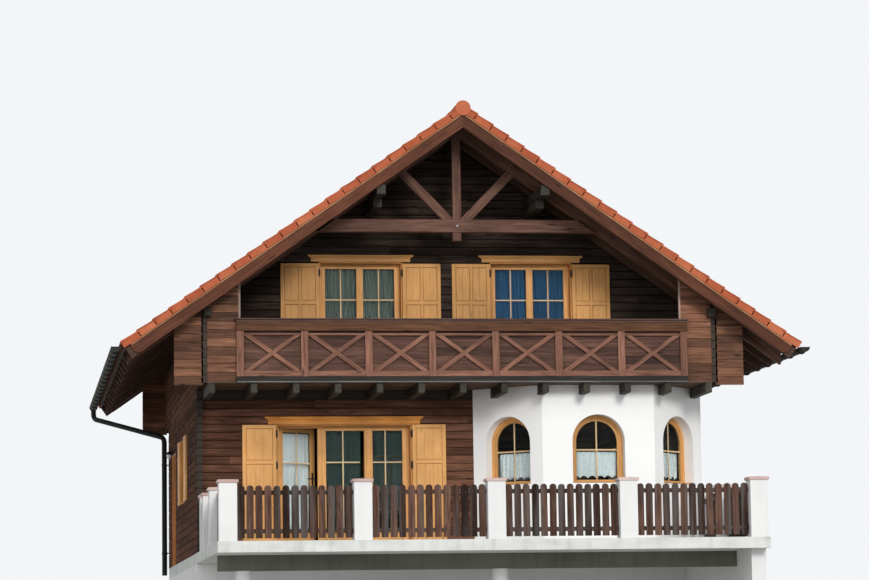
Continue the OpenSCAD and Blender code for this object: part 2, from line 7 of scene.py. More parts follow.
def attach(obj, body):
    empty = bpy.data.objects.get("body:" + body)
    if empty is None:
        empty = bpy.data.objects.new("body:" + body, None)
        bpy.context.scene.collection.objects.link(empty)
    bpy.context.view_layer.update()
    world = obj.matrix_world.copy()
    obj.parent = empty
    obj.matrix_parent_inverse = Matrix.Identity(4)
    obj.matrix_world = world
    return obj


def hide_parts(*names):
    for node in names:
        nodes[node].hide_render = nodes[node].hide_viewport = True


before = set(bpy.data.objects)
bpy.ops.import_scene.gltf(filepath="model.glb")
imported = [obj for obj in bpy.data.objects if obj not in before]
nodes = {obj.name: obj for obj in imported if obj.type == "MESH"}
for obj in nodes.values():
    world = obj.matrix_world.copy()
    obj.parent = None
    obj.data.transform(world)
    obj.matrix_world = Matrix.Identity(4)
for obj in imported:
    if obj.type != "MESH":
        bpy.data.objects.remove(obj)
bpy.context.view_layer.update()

chance = random.Random(7)

# Camera. The photograph is taken from below and a little left of the house,
# with a long lens tipped slightly up.
FRONT, REAR = -4.4, 4.4     # y of the outer faces of the front and rear walls
TERRACE = 2.5               # z of the terrace top
yaw, pitch, roll = 0.1430, 0.1203, -0.0140
eye = Vector((-8.003, -53.69 + FRONT, -1.891 + TERRACE))
ahead = Vector((math.sin(yaw) * math.cos(pitch), math.cos(yaw) * math.cos(pitch), math.sin(pitch)))
level = Vector((math.cos(yaw), -math.sin(yaw), 0.0))
above = level.cross(ahead)
across = level * math.cos(roll) + above * math.sin(roll)
upward = above * math.cos(roll) - level * math.sin(roll)
lens = bpy.data.cameras.new("photo_camera")
lens.sensor_width = 36.0
lens.lens = 3046.6 / 869 * lens.sensor_width        # focal length and picture width in pixels
lens.clip_end = 400
camera = bpy.data.objects.new("photo_camera", lens)
bpy.context.scene.collection.objects.link(camera)
camera.matrix_world = Matrix.Translation(eye) @ Matrix((across, upward, -ahead)).transposed().to_4x4()
bpy.context.scene.camera = camera


# Basement, slabs and terrace masonry. The basement and the terrace's beam,
# columns and side wall are rendered white, but the beam is coloured dark grey
# as painted shade under the slab; the slabs are bare concrete that the
# weather has streaked grey.
def shader(name, roughness, gloss=0.15):
    """A new material, its surface shader and a maker of wired nodes."""
    material = bpy.data.materials.new(name)
    material.use_nodes = True
    tree = material.node_tree
    surface = tree.nodes["Principled BSDF"]
    surface.inputs["Roughness"].default_value = roughness
    surface.inputs["Specular IOR Level"].default_value = gloss

    def add(kind, links=(), **values):
        node = tree.nodes.new("ShaderNode" + kind)
        for key, value in values.items():
            if key in node.inputs:
                node.inputs[key].default_value = value
            else:
                setattr(node, key, value)
        for socket, source in links:
            tree.links.new(source, node.inputs[socket])
        return node

    return material, surface, add


def mapped(add, where, scale):
    """Coordinates stretched by scale."""
    return add("Mapping", [("Vector", where)], Scale=scale).outputs["Vector"]


def placed(add, scale=(1, 1, 1)):
    """Object coordinates stretched by scale."""
    return mapped(add, add("TexCoord").outputs["Object"], scale)


def noise(add, where, scale, detail, **more):
    return add("TexNoise", [("Vector", where)], Scale=scale, Detail=detail, **more).outputs["Fac"]


def ramp(add, source, *stops):
    """A colour ramp with the given (place, colour) stops."""
    node = add("ValToRGB", [("Fac", source)])
    band = node.color_ramp
    while len(band.elements) < len(stops):
        band.elements.new(0.5)
    for element, (place, colour) in zip(band.elements, stops):
        element.position = place
        element.color = (*colour, 1)
    return node.outputs["Color"]


def spread_over(add, source, low, high, start, end):
    """Maps source between low and high onto start to end."""
    node = add("MapRange", [("Value", source)])
    for socket, value in zip(("From Min", "From Max", "To Min", "To Max"), (low, high, start, end)):
        node.inputs[socket].default_value = value
    return node.outputs["Result"]


def shaded(add, colour, *spread):
    """Multiplies a colour by a source that is spread over a range."""
    part = spread_over(add, *spread)
    return add("VectorMath", [(0, colour), (1, part)], operation="MULTIPLY").outputs["Vector"]


def coat(surface, add, colour=None, height=None, strength=0.0, distance=0.0):
    """Wires a colour and a relief to the surface."""
    links = surface.id_data.links
    if colour:
        links.new(colour, surface.inputs["Base Color"])
    if height:
        bump = add("Bump", [("Height", height)], Strength=strength, Distance=distance)
        links.new(bump.outputs["Normal"], surface.inputs["Normal"])


def plaster(name, stops, grit, cloud, streak=None):
    """Clouded render or concrete, with runs down its face where a streak is given."""
    material, surface, add = shader(name, 0.85)
    colour = ramp(add, noise(add, placed(add, cloud), 1.0, 5.0, Roughness=0.6), *stops)
    if streak:
        runs = noise(add, placed(add, (6, 6, 0.8)), 1.0, 4.0)
        colour = shaded(add, colour, runs, 0.5, 0.75, 1.0, streak)
    rub = noise(add, placed(add), grit, 6.0, Roughness=0.7)
    coat(surface, add, colour, rub, 0.35, 0.008)
    return material


def dress(material, *names):
    """Puts a material on CAD nodes."""
    for name in names:
        slots = nodes[name].data.materials
        slots.clear()
        slots.append(material)


white_render = plaster("white_render", (
    (0.25, (0.73, 0.73, 0.725)), (0.55, (0.78, 0.78, 0.775)), (0.8, (0.81, 0.81, 0.805))),
    60, (0.5, 0.5, 1.2), 0.95)
slab_concrete = plaster("slab_concrete", (
    (0.2, (0.52, 0.53, 0.505)), (0.5, (0.66, 0.67, 0.645)), (0.85, (0.76, 0.77, 0.75))),
    35, (2.5, 2.5, 5.0), 0.8)
# Dark grey for the terrace's beam: painted shade where it stands under the slab.
beam_painted_shade = plaster("beam_painted_shade", (
    (0.25, (0.12, 0.12, 0.10)), (0.55, (0.16, 0.16, 0.13)), (0.8, (0.20, 0.20, 0.17))),
    50, (0.8, 0.8, 2.0), 0.8)
# A brighter copy of the white render for the bay: painted light that lifts the shade the balcony casts on it.
bay_painted_light = plaster("bay_painted_light", (
    (0.25, (0.89, 0.89, 0.885)), (0.55, (0.92, 0.92, 0.915)), (0.8, (0.94, 0.94, 0.935))),
    60, (0.5, 0.5, 1.2))
dress(white_render, "basement_walls", "terrace_columns", "terrace_side_wall", "terrace_posts")
dress(bay_painted_light, "bay_wall")
dress(beam_painted_shade, "terrace_beam")
dress(slab_concrete, "basement_floor", "ground_floor", "terrace_slab")


# Post caps. Fired clay plates with eased edges and a slight crown, bedded in
# mortar on the white posts with a small overhang.
def at(x, y, z):
    """A place as a matrix."""
    return Matrix.Translation((x, y, z))


def alone(obj):
    """Deselects everything and selects one object."""
    for other in list(bpy.context.selected_objects):
        other.select_set(False)
    obj.select_set(True)
    bpy.context.view_layer.objects.active = obj
    return obj


def fresh(add_primitive, stretch=(1, 1, 1), **values):
    """Adds a primitive alone, stretches it and leaves its place, turn and size in its mesh."""
    bpy.ops.object.select_all(action="DESELECT")
    add_primitive(**values)
    obj = bpy.context.object
    obj.scale = stretch
    bpy.ops.object.transform_apply(location=True, rotation=True, scale=True)
    return obj


def finish_with(obj, kind, **settings):
    """Adds a modifier and applies it."""
    alone(obj)
    modifier = obj.modifiers.new(kind.lower(), kind)
    for key, value in settings.items():
        setattr(modifier, key, value)
    bpy.ops.object.modifier_apply(modifier=modifier.name)
    return obj


def eased(obj, width, segments=1, **settings):
    """Takes the sharp edges off a piece."""
    return finish_with(obj, "BEVEL", width=width, segments=segments, limit_method="ANGLE", **settings)


def note(mesh, lies, tones):
    """Writes a grain and a tone for every point of a mesh, in place of older ones."""
    for name, kind, field, values in (("grain", "FLOAT_VECTOR", "vector", lies),
                                      ("tone", "FLOAT", "value", tones)):
        if name in mesh.attributes:
            mesh.attributes.remove(mesh.attributes[name])
        mesh.attributes.new(name, kind, "POINT").data.foreach_set(field, values)


def mark_grain(obj, grain, tone=None):
    """Notes on a piece's points where they lie along its grain, and how dark its stick is."""
    order = {"X": (0, 1, 2), "Y": (1, 0, 2), "Z": (2, 0, 1)}[grain]
    start = [chance.uniform(0, 40) for _ in range(3)]
    tone = chance.random() if tone is None else tone
    mesh = obj.data
    lie = []
    for v in mesh.vertices:
        lie.extend(v.co[order[i]] + start[i] for i in range(3))
    note(mesh, lie, [tone] * len(mesh.vertices))
    return obj


def stick(low, high, grain="X", ease=0.004, tone=None):
    """A planed piece between two corners with eased edges."""
    obj = fresh(bpy.ops.mesh.primitive_cube_add, [b - a for a, b in zip(low, high)],
                size=1, location=[(a + b) / 2 for a, b in zip(low, high)])
    if ease:
        eased(obj, ease)
    return mark_grain(obj, grain, tone)


def pick_out(obj, parts, wanted, mode=None):
    """Enters edit mode on a piece with only those of its faces or edges selected that are wanted."""
    alone(obj)
    bpy.ops.object.mode_set(mode="EDIT")
    if mode:
        bpy.ops.mesh.select_mode(type=mode)
    bpy.ops.mesh.select_all(action="DESELECT")
    bpy.ops.object.mode_set(mode="OBJECT")
    for part in getattr(obj.data, parts):
        part.select = wanted(part)
    bpy.ops.object.mode_set(mode="EDIT")


def joined(name, parts):
    """Joins pieces into one object under a name."""
    alone(parts[0])
    for part in parts[1:]:
        part.select_set(True)
    bpy.ops.object.join()
    whole = bpy.context.object
    whole.name = whole.data.name = name
    return whole


def set_out(name, pattern, places, spread=1.0):
    """One mesh of many copies of a pattern, one at each place, each with its own grain and tone."""
    source = pattern.data
    corners = [v.co.copy() for v in source.vertices]
    sides = [tuple(p.vertices) for p in source.polygons]
    smooth = [p.use_smooth for p in source.polygons]
    lie = [a.vector.copy() for a in source.attributes["grain"].data]
    depth = [a.value for a in source.attributes["tone"].data]
    points, faces, smooths, lies, tones = [], [], [], [], []
    for place in places:
        base = len(points)
        points.extend(place @ c for c in corners)
        faces.extend(tuple(base + i for i in side) for side in sides)
        smooths.extend(smooth)
        shift = Vector([chance.uniform(0, 40) for _ in range(3)])
        change = (chance.random() - 0.5) * spread
        for g, t in zip(lie, depth):
            lies.extend(g + shift)
            tones.append(min(1.0, max(0.0, t + change)))
    mesh = bpy.data.meshes.new(name)
    mesh.from_pydata(points, [], faces)
    mesh.polygons.foreach_set("use_smooth", smooths)
    note(mesh, lies, tones)
    obj = bpy.data.objects.new(name, mesh)
    bpy.context.scene.collection.objects.link(obj)
    bpy.data.objects.remove(pattern)
    return obj


def settle(obj, material, body="house", stands_for=()):
    """Gives a finished piece its material, its body and the nodes that it stands for."""
    obj.data.materials.clear()
    obj.data.materials.append(material)
    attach(obj, body)
    if stands_for:
        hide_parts(*stands_for)
    return obj


def build(name, pattern, places, spread, material, body="house", stands_for=()):
    """Sets a pattern, or the parts of one, out at its places and settles the piece."""
    if isinstance(pattern, list):
        pattern = joined(name + "_pattern", pattern)
    return settle(set_out(name, pattern, places, spread), material, body, stands_for)


def reckon(add, operation, *terms):
    """The result of a math node on numbers and other nodes' outputs."""
    wired = [(i, term) for i, term in enumerate(terms) if not isinstance(term, float)]
    node = add("Math", wired, operation=operation)
    for i, term in enumerate(terms):
        if isinstance(term, float):
            node.inputs[i].default_value = term
    return node.outputs[0]


def clay(name, dark, middle, light):
    """Fired clay, each piece from its own corner of the kiln."""
    material, surface, add = shader(name, 0.72)
    tint = add("Attribute", attribute_name="tone").outputs["Fac"]
    cloud = noise(add, placed(add), 5.0, 6.0, Roughness=0.65)
    half = reckon(add, "MULTIPLY", reckon(add, "ADD", tint, cloud), 0.5)
    colour = ramp(add, half, (0.2, dark), (0.5, middle), (0.8, light))
    coat(surface, add, colour, noise(add, placed(add), 90.0, 4.0), 0.2, 0.003)
    return material


post_pitch, post_width = 2.165, 0.29
post_x = [-0.06 + i * post_pitch for i in (-2, -1, 0, 1, 2)]
post_y = [-9.65, -7.45184, -5.852, -5.18]          # front faces of the posts
post_places = [at(x, post_y[0], 0) for x in post_x]
post_places += [at(post_x[k], y, 0) for k in (0, 4) for y in post_y[1:]]
cap = stick((-0.17, -0.025, 3.430), (0.17, 0.315, 3.478), "X", 0.0)
pick_out(cap, "polygons", lambda face: face.normal.z > 0.9)
bpy.ops.mesh.inset(thickness=0.13)
bpy.ops.transform.translate(value=(0, 0, 0.012))
bpy.ops.object.mode_set(mode="OBJECT")
eased(cap, 0.007, 2)
mark_grain(cap, "X", 0.5)
cap_clay = clay("cap_clay", (0.44, 0.29, 0.26), (0.61, 0.45, 0.41), (0.71, 0.57, 0.53))
build("clay_post_caps", cap, post_places, 0.8, cap_clay, stands_for=["post_caps"])


# Terrace fence. Rough round-headed pickets screwed to two rails behind them,
# stained dark brown; each picket has weathered in its own way.
def turn(angle, axis="Z"):
    """A turn about an axis as a matrix."""
    return Matrix.Rotation(angle, 4, axis)


def fibres(add, along, tints, detail=8.0, **more):
    """Wood fibres, and the dark, middle and light tint of a stain that lie on them."""
    fibre = noise(add, along, 1.6, detail, **more)
    return fibre, ramp(add, fibre, *zip((0.3, 0.5, 0.72), tints))


def mixed(add, share, colour, other):
    """A colour with a share of another one."""
    return add("MixRGB", [("Fac", share), ("Color1", colour)], Color2=(*other, 1)).outputs["Color"]


def stain(name, *tints, spread=0.4, rough=0.62, knots=0.75, coarse=1.0, grey=None):
    """Stained softwood: fibres along the grain, knots, and a depth of stain that differs from stick to stick."""
    material, surface, add = shader(name, rough)
    lie = add("Attribute", attribute_name="grain").outputs["Vector"]
    tone = add("Attribute", attribute_name="tone").outputs["Fac"]
    along = mapped(add, lie, (1.1 * coarse, 17 * coarse, 17 * coarse))
    fibre, colour = fibres(add, along, tints, Roughness=0.62, Distortion=0.5)
    colour = shaded(add, colour, tone, 0.0, 1.0, 1.0 - spread, 1.0 + spread)
    if knots:
        knot = add("TexVoronoi", [("Vector", mapped(add, lie, (1.3, 5.0, 5.0)))], Scale=1.0)
        colour = shaded(add, colour, knot.outputs["Distance"], 0.05, 0.13, 1.0 - knots, 1.0)
    weather = noise(add, add("TexCoord").outputs["Object"], 1.1, 4.0)
    colour = shaded(add, colour, weather, 0.35, 0.7, 0.82, 1.15)
    if grey:
        worn = spread_over(add, noise(add, along, 0.5, 3.0), 0.45, 0.7, 0.0, 0.8)
        colour = mixed(add, worn, colour, grey)
    coat(surface, add, colour, fibre, 0.25, 0.008)
    return material


def metal(name, colour, rough=0.5, metallic=0.0):
    """Painted or bare metal with a faint cloud in it."""
    material, surface, add = shader(name, rough, 0.12)
    surface.inputs["Metallic"].default_value = metallic
    cloud = noise(add, placed(add), 9.0, 5.0)
    pale = tuple(c * 1.5 + 0.01 for c in colour)
    coat(surface, add, ramp(add, cloud, (0.35, colour), (0.75, pale)), cloud, 0.05, 0.003)
    return material


def ends_of(obj, edge):
    return [obj.data.vertices[i].co for i in edge.vertices]


def round_head(edge):
    """The edges through a picket's thickness at its top corners."""
    a, b = ends_of(picket, edge)
    return a.z > 0.8 and b.z > 0.8 and abs(a.y - b.y) > 0.01


picket = stick((-0.0575, -0.022, 0.045), (0.0575, 0.0, 0.890), "Z", 0.0, 0.5)
pick_out(picket, "edges", round_head, "EDGE")
bpy.ops.mesh.bevel(offset=0.052, segments=5)
bpy.ops.object.mode_set(mode="OBJECT")
eased(picket, 0.003, angle_limit=1.0)
mark_grain(picket, "Z", 0.5)
UPRIGHT = (math.pi / 2, 0, 0)       # turns a cylinder's axis from z to y
screw = fresh(bpy.ops.mesh.primitive_cylinder_add, vertices=6, radius=0.006, depth=0.004,
              location=(0, -0.0235, 0.158), rotation=UPRIGHT)
mark_grain(screw, "X", 0.5)

# Each run of fence has a start, a direction and a length, and its pickets
# stand on the right hand of the direction.
runs = [((x + post_width / 2, post_y[0] + post_width / 2), (1, 0), post_pitch - post_width) for x in post_x[:4]]
for near, far in zip(post_y, post_y[1:]):
    gap = far - near - post_width
    runs += [((post_x[4], near + post_width), (0, 1), gap), ((post_x[0], far), (0, -1), gap)]
picket_places, screw_places, rails = [], [], []
for (x, y), (dx, dy), length in runs:
    start = at(x, y, TERRACE) @ turn(math.atan2(dy, dx))
    count = round(length / 0.145)
    for i in range(count):
        spot = start @ at((i + 0.5) * length / count, 0, 0)
        lean = turn(chance.uniform(-0.006, 0.006), "Y")
        size = Matrix.Diagonal((chance.uniform(0.95, 1.0), 1, chance.uniform(0.992, 1.0), 1))
        picket_places.append(spot @ lean @ size)
        screw_places.extend(spot @ at(chance.uniform(-0.02, 0.02), 0, z) for z in (0.0, 0.616))
    for z in (0.123, 0.739):
        rail = stick((0, 0, z), (length, 0.045, z + 0.07), "X", 0.003)
        rail.data.transform(start)
        rails.append(rail)
picket_stain = stain("picket_stain", (0.025, 0.012, 0.008), (0.066, 0.033, 0.023), (0.13, 0.073, 0.054),
                     spread=0.75, rough=0.8, knots=0.6, grey=(0.11, 0.10, 0.095))
screw_metal = metal("screw_metal", (0.09, 0.085, 0.08), metallic=0.8)
build("fence_pickets", picket, picket_places, 1.0, picket_stain,
      stands_for=["fence_front", "fence_sides"])
settle(joined("fence_rails", rails), picket_stain)
build("fence_screws", screw, screw_places, 1.0, screw_metal)


# Log walls. Planed softwood courses with a V joint, notched over each other
# at the corners where their end grain has greyed, stained reddish brown; the
# gable walls under the roof are darkened nearly to black as painted shade
# from the roof's overhang.
def off_middle(add, rows):
    """How far a point is from the middle of its course, as a share of the course."""
    return reckon(add, "ABSOLUTE", reckon(add, "SUBTRACT", reckon(add, "FRACT", rows), 0.5))


def log_wall(name, tints, grain, pitch, start):
    """Courses of stained logs along an axis, read from where they lie on the house."""
    material, surface, add = shader(name, 0.85, 0.04)
    where = add("TexCoord").outputs["Object"]
    split = add("SeparateXYZ", [("Vector", where)]).outputs
    rows = reckon(add, "DIVIDE", reckon(add, "SUBTRACT", split["Z"], start), pitch)
    row = reckon(add, "FLOOR", rows)
    jog = reckon(add, "MULTIPLY_ADD", row, 0.37, reckon(add, "MULTIPLY", split[grain], 0.27))
    log = add("CombineXYZ", [("X", row), ("Y", reckon(add, "FLOOR", jog))]).outputs["Vector"]
    luck = add("TexWhiteNoise", [("Vector", log)], noise_dimensions="2D").outputs["Value"]
    stretch, knotty = [16.0] * 3, [5.0] * 3
    stretch["XYZ".index(grain)], knotty["XYZ".index(grain)] = 0.9, 1.1
    shift = [(0, mapped(add, where, stretch)), (1, reckon(add, "MULTIPLY", luck, 37.0))]
    along = add("VectorMath", shift, operation="ADD").outputs["Vector"]
    fibre, colour = fibres(add, along, tints, Roughness=0.62, Distortion=0.6)
    colour = shaded(add, colour, luck, 0.0, 1.0, 0.7, 1.3)
    knot = add("TexVoronoi", [("Vector", mapped(add, where, knotty))], Scale=1.0)
    colour = shaded(add, colour, knot.outputs["Distance"], 0.05, 0.14, 0.35, 1.0)
    colour = shaded(add, colour, noise(add, where, 0.9, 4.0), 0.35, 0.7, 0.80, 1.18)
    facing = add("SeparateXYZ", [("Vector", add("NewGeometry").outputs["Normal"])]).outputs[grain]
    ends = spread_over(add, reckon(add, "ABSOLUTE", facing), 0.85, 0.95, 0.0, 0.8)
    colour = mixed(add, ends, colour, (0.045, 0.045, 0.040))
    colour = shaded(add, colour, off_middle(add, rows), 0.40, 0.49, 1.0, 0.30)
    coat(surface, add, colour, fibre, 0.25, 0.01)
    return material


log_tints = (0.054, 0.026, 0.017), (0.128, 0.058, 0.036), (0.21, 0.102, 0.066)
side_tints = (0.035, 0.015, 0.009), (0.080, 0.033, 0.019), (0.14, 0.062, 0.036)
# The gable logs' stain, darkened nearly to black as painted shade under the roof's overhang.
gable_painted_shade_tints = (0.015, 0.011, 0.009), (0.035, 0.025, 0.020), (0.070, 0.048, 0.038)
WALL_HEAD = 5.365                   # z of the ground floor's top and of the joists
course_high = 2.69 / 19
dress(log_wall("front_log_stain", log_tints, "X", course_high, TERRACE),
      "front_logs_left", "front_logs_right", "front_logs_over", "rear_logs")
dress(log_wall("side_log_stain", side_tints, "Y", course_high, TERRACE),
      "left_logs_front", "left_logs_rear", "left_logs_over", "right_logs")
dress(log_wall("upper_log_stain", log_tints, "Y", 0.148, WALL_HEAD), "upper_side_logs", "upper_floor")
dress(log_wall("gable_log_painted_shade", gable_painted_shade_tints, "X", 4.867 / 34, WALL_HEAD), "gable_front", "gable_rear")


# Balcony joists. Squared beams that run out of the upper floor; their ends
# stand in the weather and have gone grey green, and their grey is darkened
# further as painted shade.
half_turn = turn(math.pi)


def faced(x, y, z):
    """A place at the front of the house or, turned half round, at its rear."""
    return at(x, y, z) @ half_turn if y > 0 else at(x, y, z)


def both_ends(out=0.0, x=0.0):
    """Places at both ends of the house, a way out from the walls."""
    return [faced(x, FRONT - out, 0), faced(x, REAR + out, 0)]


# Weathered grey green, made darker as painted shade for the joists in shadow; the purlins share it.
grey_timber_painted_shade = stain("grey_timber_painted_shade", (0.021, 0.0175, 0.0138), (0.043, 0.037, 0.029), (0.076, 0.067, 0.054),
                    spread=0.25, knots=0.5)
joist = stick((-0.058, -1.46, 5.19), (0.058, 0.0, WALL_HEAD), "Y", 0.009, 0.5)
joist_places = [end @ at(i * 0.729, 0, 0) for end in both_ends() for i in range(-6, 7)]
build("squared_joists", joist, joist_places, 0.8, grey_timber_painted_shade, stands_for=["balcony_joists"])


# Head of the bay. The white masonry is carried up between the joists to the
# deck, so that the beams run out of it.
BAY_X = 2.47
outer = [(-2.08, 0.0), (-1.005, -1.0), (1.005, -1.0), (2.08, 0.0)]
inner = [(-1.80, 0.0), (-0.889, -0.72), (0.889, -0.72), (1.80, 0.0)]
head = fresh(bpy.ops.mesh.primitive_grid_add, x_subdivisions=3, y_subdivisions=1, size=1)
for v in head.data.vertices:
    x, y = (outer if v.co.y < 0 else inner)[round((v.co.x + 0.5) * 3)]
    v.co = (BAY_X + x, FRONT + y, WALL_HEAD)
finish_with(head, "SOLIDIFY", thickness=0.175, offset=-1)
head.name = head.data.name = "bay_wall_head"
# The head takes the bay's brighter white, painted light.
settle(head, bay_painted_light)


# Balcony decks. Planed boards laid along the front over the joists with a
# finger's gap between them.
deck_top, board_wide, board_step = 5.405, 0.136, 0.141
deck_stain = stain("deck_stain", (0.045, 0.026, 0.017), (0.10, 0.060, 0.040), (0.17, 0.11, 0.078),
                   spread=0.3, rough=0.75)
deck = [stick((-4.45, -1.41 + i * board_step, WALL_HEAD),
              (4.45, -1.41 + i * board_step + board_wide, deck_top), "X", 0.003) for i in range(10)]
build("deck_boards", deck, both_ends(), 0.2, deck_stain, stands_for=["balcony_decks"])


# Balcony railings. Posts stand on the floor's edge, with crossed braces
# halved over each other in front of horizontal boards, a deep board on top
# and a thin cap; the edge of the floor is a board stained nearly black as
# painted shade under the railing, with a pale strip.
def cut(obj, *planes):
    """Saws a piece at planes, each a point and a normal towards what falls off."""
    alone(obj)
    bpy.ops.object.mode_set(mode="EDIT")
    for point, normal in planes:
        bpy.ops.mesh.select_all(action="SELECT")
        bpy.ops.mesh.bisect(plane_co=point, plane_no=normal, clear_outer=True, use_fill=True)
    bpy.ops.object.mode_set(mode="OBJECT")
    return obj


rail_red = stain("rail_red", (0.085, 0.036, 0.024), (0.19, 0.088, 0.058), (0.29, 0.145, 0.100), spread=0.35)
rail_brown = stain("rail_brown", (0.040, 0.016, 0.008), (0.098, 0.040, 0.018), (0.15, 0.066, 0.033), spread=0.2)
rail_back = stain("rail_back", (0.036, 0.016, 0.011), (0.080, 0.038, 0.027), (0.150, 0.074, 0.053), spread=0.5)
# Nearly black for the floor's edge: painted shade in the gap under the railing's lower rail.
floor_edge_painted_shade = stain("floor_edge_painted_shade", (0.012, 0.009, 0.007), (0.024, 0.019, 0.016), (0.045, 0.037, 0.032), spread=0.2)
cap_stain = stain("cap_stain", (0.072, 0.038, 0.030), (0.11, 0.062, 0.050), (0.15, 0.087, 0.071),
                  spread=0.2, knots=0.0)
pale_strip = stain("pale_strip", (0.085, 0.085, 0.082), (0.13, 0.13, 0.125), (0.18, 0.18, 0.175),
                   spread=0.2, knots=0.0)
rail_pitch, half_post, post_face, rail_back_y = 1.117, 0.063, -0.010, 0.072
rail_end = 3.5 * rail_pitch                         # x of the outer posts
rail_posts = [-rail_end + i * rail_pitch for i in range(8)]
z0, z1 = deck_top + 0.072, deck_top + 0.824         # foot and top of the framed panels
low, high = z0 + 0.096, z1 - 0.04                   # between the lower and the upper rail
tilt = 0.622                                        # the braces' outer edges run into the corners
reach = (high - low) / math.sin(tilt) + 0.1


def lengthwise(over, y0, low, y1, high, ease, tone=0.5):
    """A stick that runs over the outer posts by some way at both ends; its heights are above the deck."""
    return stick((-rail_end - over, y0, deck_top + low), (rail_end + over, y1, deck_top + high), "X", ease, tone)


frame_parts, panel_parts = [], []
for x in rail_posts:
    frame_parts.append(stick((x - half_post, post_face, deck_top), (x + half_post, rail_back_y, deck_top + 0.86),
                             "Z", 0.006, chance.uniform(0.45, 0.95)))
for left, right in zip(rail_posts, rail_posts[1:]):
    a, b = left + half_post, right - half_post
    frame_parts.append(stick((a, 0.0, z0), (b, 0.05, low), "X", 0.005, chance.uniform(0.4, 0.8)))
    frame_parts.append(stick((a, 0.0, high), (b, 0.05, z1), "X", 0.004, chance.uniform(0.2, 0.6)))
    for s in (1, -1):
        brace = stick((-reach / 2 - 0.06, 0.004 if s > 0 else 0.005, -0.038), (reach / 2 + 0.06, 0.05, 0.038),
                      "X", 0.005, chance.uniform(0.25, 0.8))
        brace.data.transform(at((a + b) / 2, 0, (low + high) / 2) @ turn(-s * tilt, "Y"))
        frame_parts.append(cut(brace, ((a, 0, 0), (-1, 0, 0)), ((b, 0, 0), (1, 0, 0)),
                               ((0, 0, low), (0, 0, -1)), ((0, 0, high), (0, 0, 1))))
    for k in range(6):
        z = z0 - 0.07 + k * 0.145
        panel_parts.append(stick((a - 0.01, 0.050, z), (b + 0.01, 0.070, z + 0.1455), "X", 0.004))
railing = (
    ("railing_frames", frame_parts, 0.05, rail_red, ["balcony_rails"]),
    ("railing_boards", panel_parts, 0.05, rail_back, []),
    ("railing_fascias", lengthwise(half_post, -0.020, 0.86, rail_back_y, 1.046, 0.004), 0.1, rail_brown, []),
    ("railing_caps", [lengthwise(0.09, -0.040, 1.058, rail_back_y, 1.080, 0.004),
                      # The recessed middle board takes the darkest tone as painted shade under the cap.
                      lengthwise(0.06, -0.015, 1.040, rail_back_y, 1.060, 0.002, 0.0),
                      lengthwise(0.075, -0.030, 1.020, -0.018, 1.040, 0.002, 0.4)], 0.1, cap_stain, []),
    # The floor's edge board, nearly black as painted shade.
    ("painted_shade_floor_edges", lengthwise(half_post, -0.0125, -0.04, rail_back_y, 0.072, 0.004), 0.1, floor_edge_painted_shade, []),
    ("pale_strips", lengthwise(half_post, -0.022, -0.036, -0.0125, -0.014, 0.002, 0.6), 0.1, pale_strip, []))
for name, parts, spread, finish, replaced in railing:
    build(name, parts, both_ends(1.482, 0.025), spread, finish, stands_for=replaced)


# Wing screens. Horizontal matched boards beside the railings, cut to the
# roof's slope, their free edge closed by a pale upright trim.
SLOPE, FALL = math.radians(35.1), 0.70281           # the roof's slope and its tangent
RIDGE = TERRACE + 7.732


def under_slopes(obj, depth):
    """Cuts a piece to both roof slopes at a depth below the tiles' top."""
    point = (0, 0, RIDGE - depth / math.cos(SLOPE))
    return cut(obj, *((point, (side * math.sin(SLOPE), 0, math.cos(SLOPE))) for side in (1, -1)))


wing_stain = stain("wing_stain", (0.065, 0.026, 0.014), (0.155, 0.068, 0.038), (0.27, 0.128, 0.075),
                   spread=0.55, knots=0.85)
trim_stain = stain("trim_stain", (0.20, 0.13, 0.10), (0.30, 0.21, 0.17), (0.40, 0.30, 0.25), spread=0.1, knots=0.0)
screen_edge = 3.8695
wing_parts, trim_parts = [], []
for side in (1, -1):
    for near, far, foot in ((4.515, 5.02, 5.33), (screen_edge, 4.45, deck_top)):
        a, b = sorted((side * near, side * far))
        z = foot
        while z < RIDGE - FALL * near - 0.1:
            wing_parts.append(stick((a, 0.0, z), (b, 0.058, z + 0.146), "X", 0.006))
            z += 0.1485
    a, b = sorted((side * screen_edge, side * 3.906))
    trim_parts.append(stick((a, -0.004, deck_top), (b, 0.060, 7.6), "Z", 0.003, 0.7))
wings = under_slopes(joined("wing_pattern", wing_parts), 0.15)
trims = under_slopes(joined("trim_pattern", trim_parts), 0.15)
build("wing_boards", wings, both_ends(1.41), 0.1, wing_stain, stands_for=["wing_screens"])
build("wing_trims", trims, both_ends(1.41), 0.1, trim_stain)


# Purlins and corbels. Squared beams carry the rafters from wall to wall and
# out to the barge boards; below the middle ones short corbels stand out.
def slope_z(x, depth):
    return RIDGE - FALL * abs(x) - depth / math.cos(SLOPE)


under_rafters = 0.35                # from the tiles' top down to the purlins
beams = []
for side in (1, -1):
    for x, half, y, high in ((1.444, 0.08, 6.2397, 0.175), (4.445, 0.07, 5.94, 0.16)):
        top = slope_z(x, under_rafters)
        beams.append(stick((side * x - half, -y, top - high), (side * x + half, y, top), "Y", 0.008, 0.4))
    x, top = side * 1.444, slope_z(1.444, under_rafters) - 0.175
    for sign in (1, -1):
        near, far = sorted((sign * 4.4, sign * 5.7))
        beams.append(stick((x - 0.075, near, top - 0.15), (x + 0.075, far, top), "Y", 0.010, 0.6))
top = slope_z(0, under_rafters)
beams.append(stick((-0.08, -5.29, top - 0.23), (0.08, 5.29, top - 0.03), "Y", 0.008))
settle(joined("squared_purlins", beams), grey_timber_painted_shade, stands_for=["purlins"])


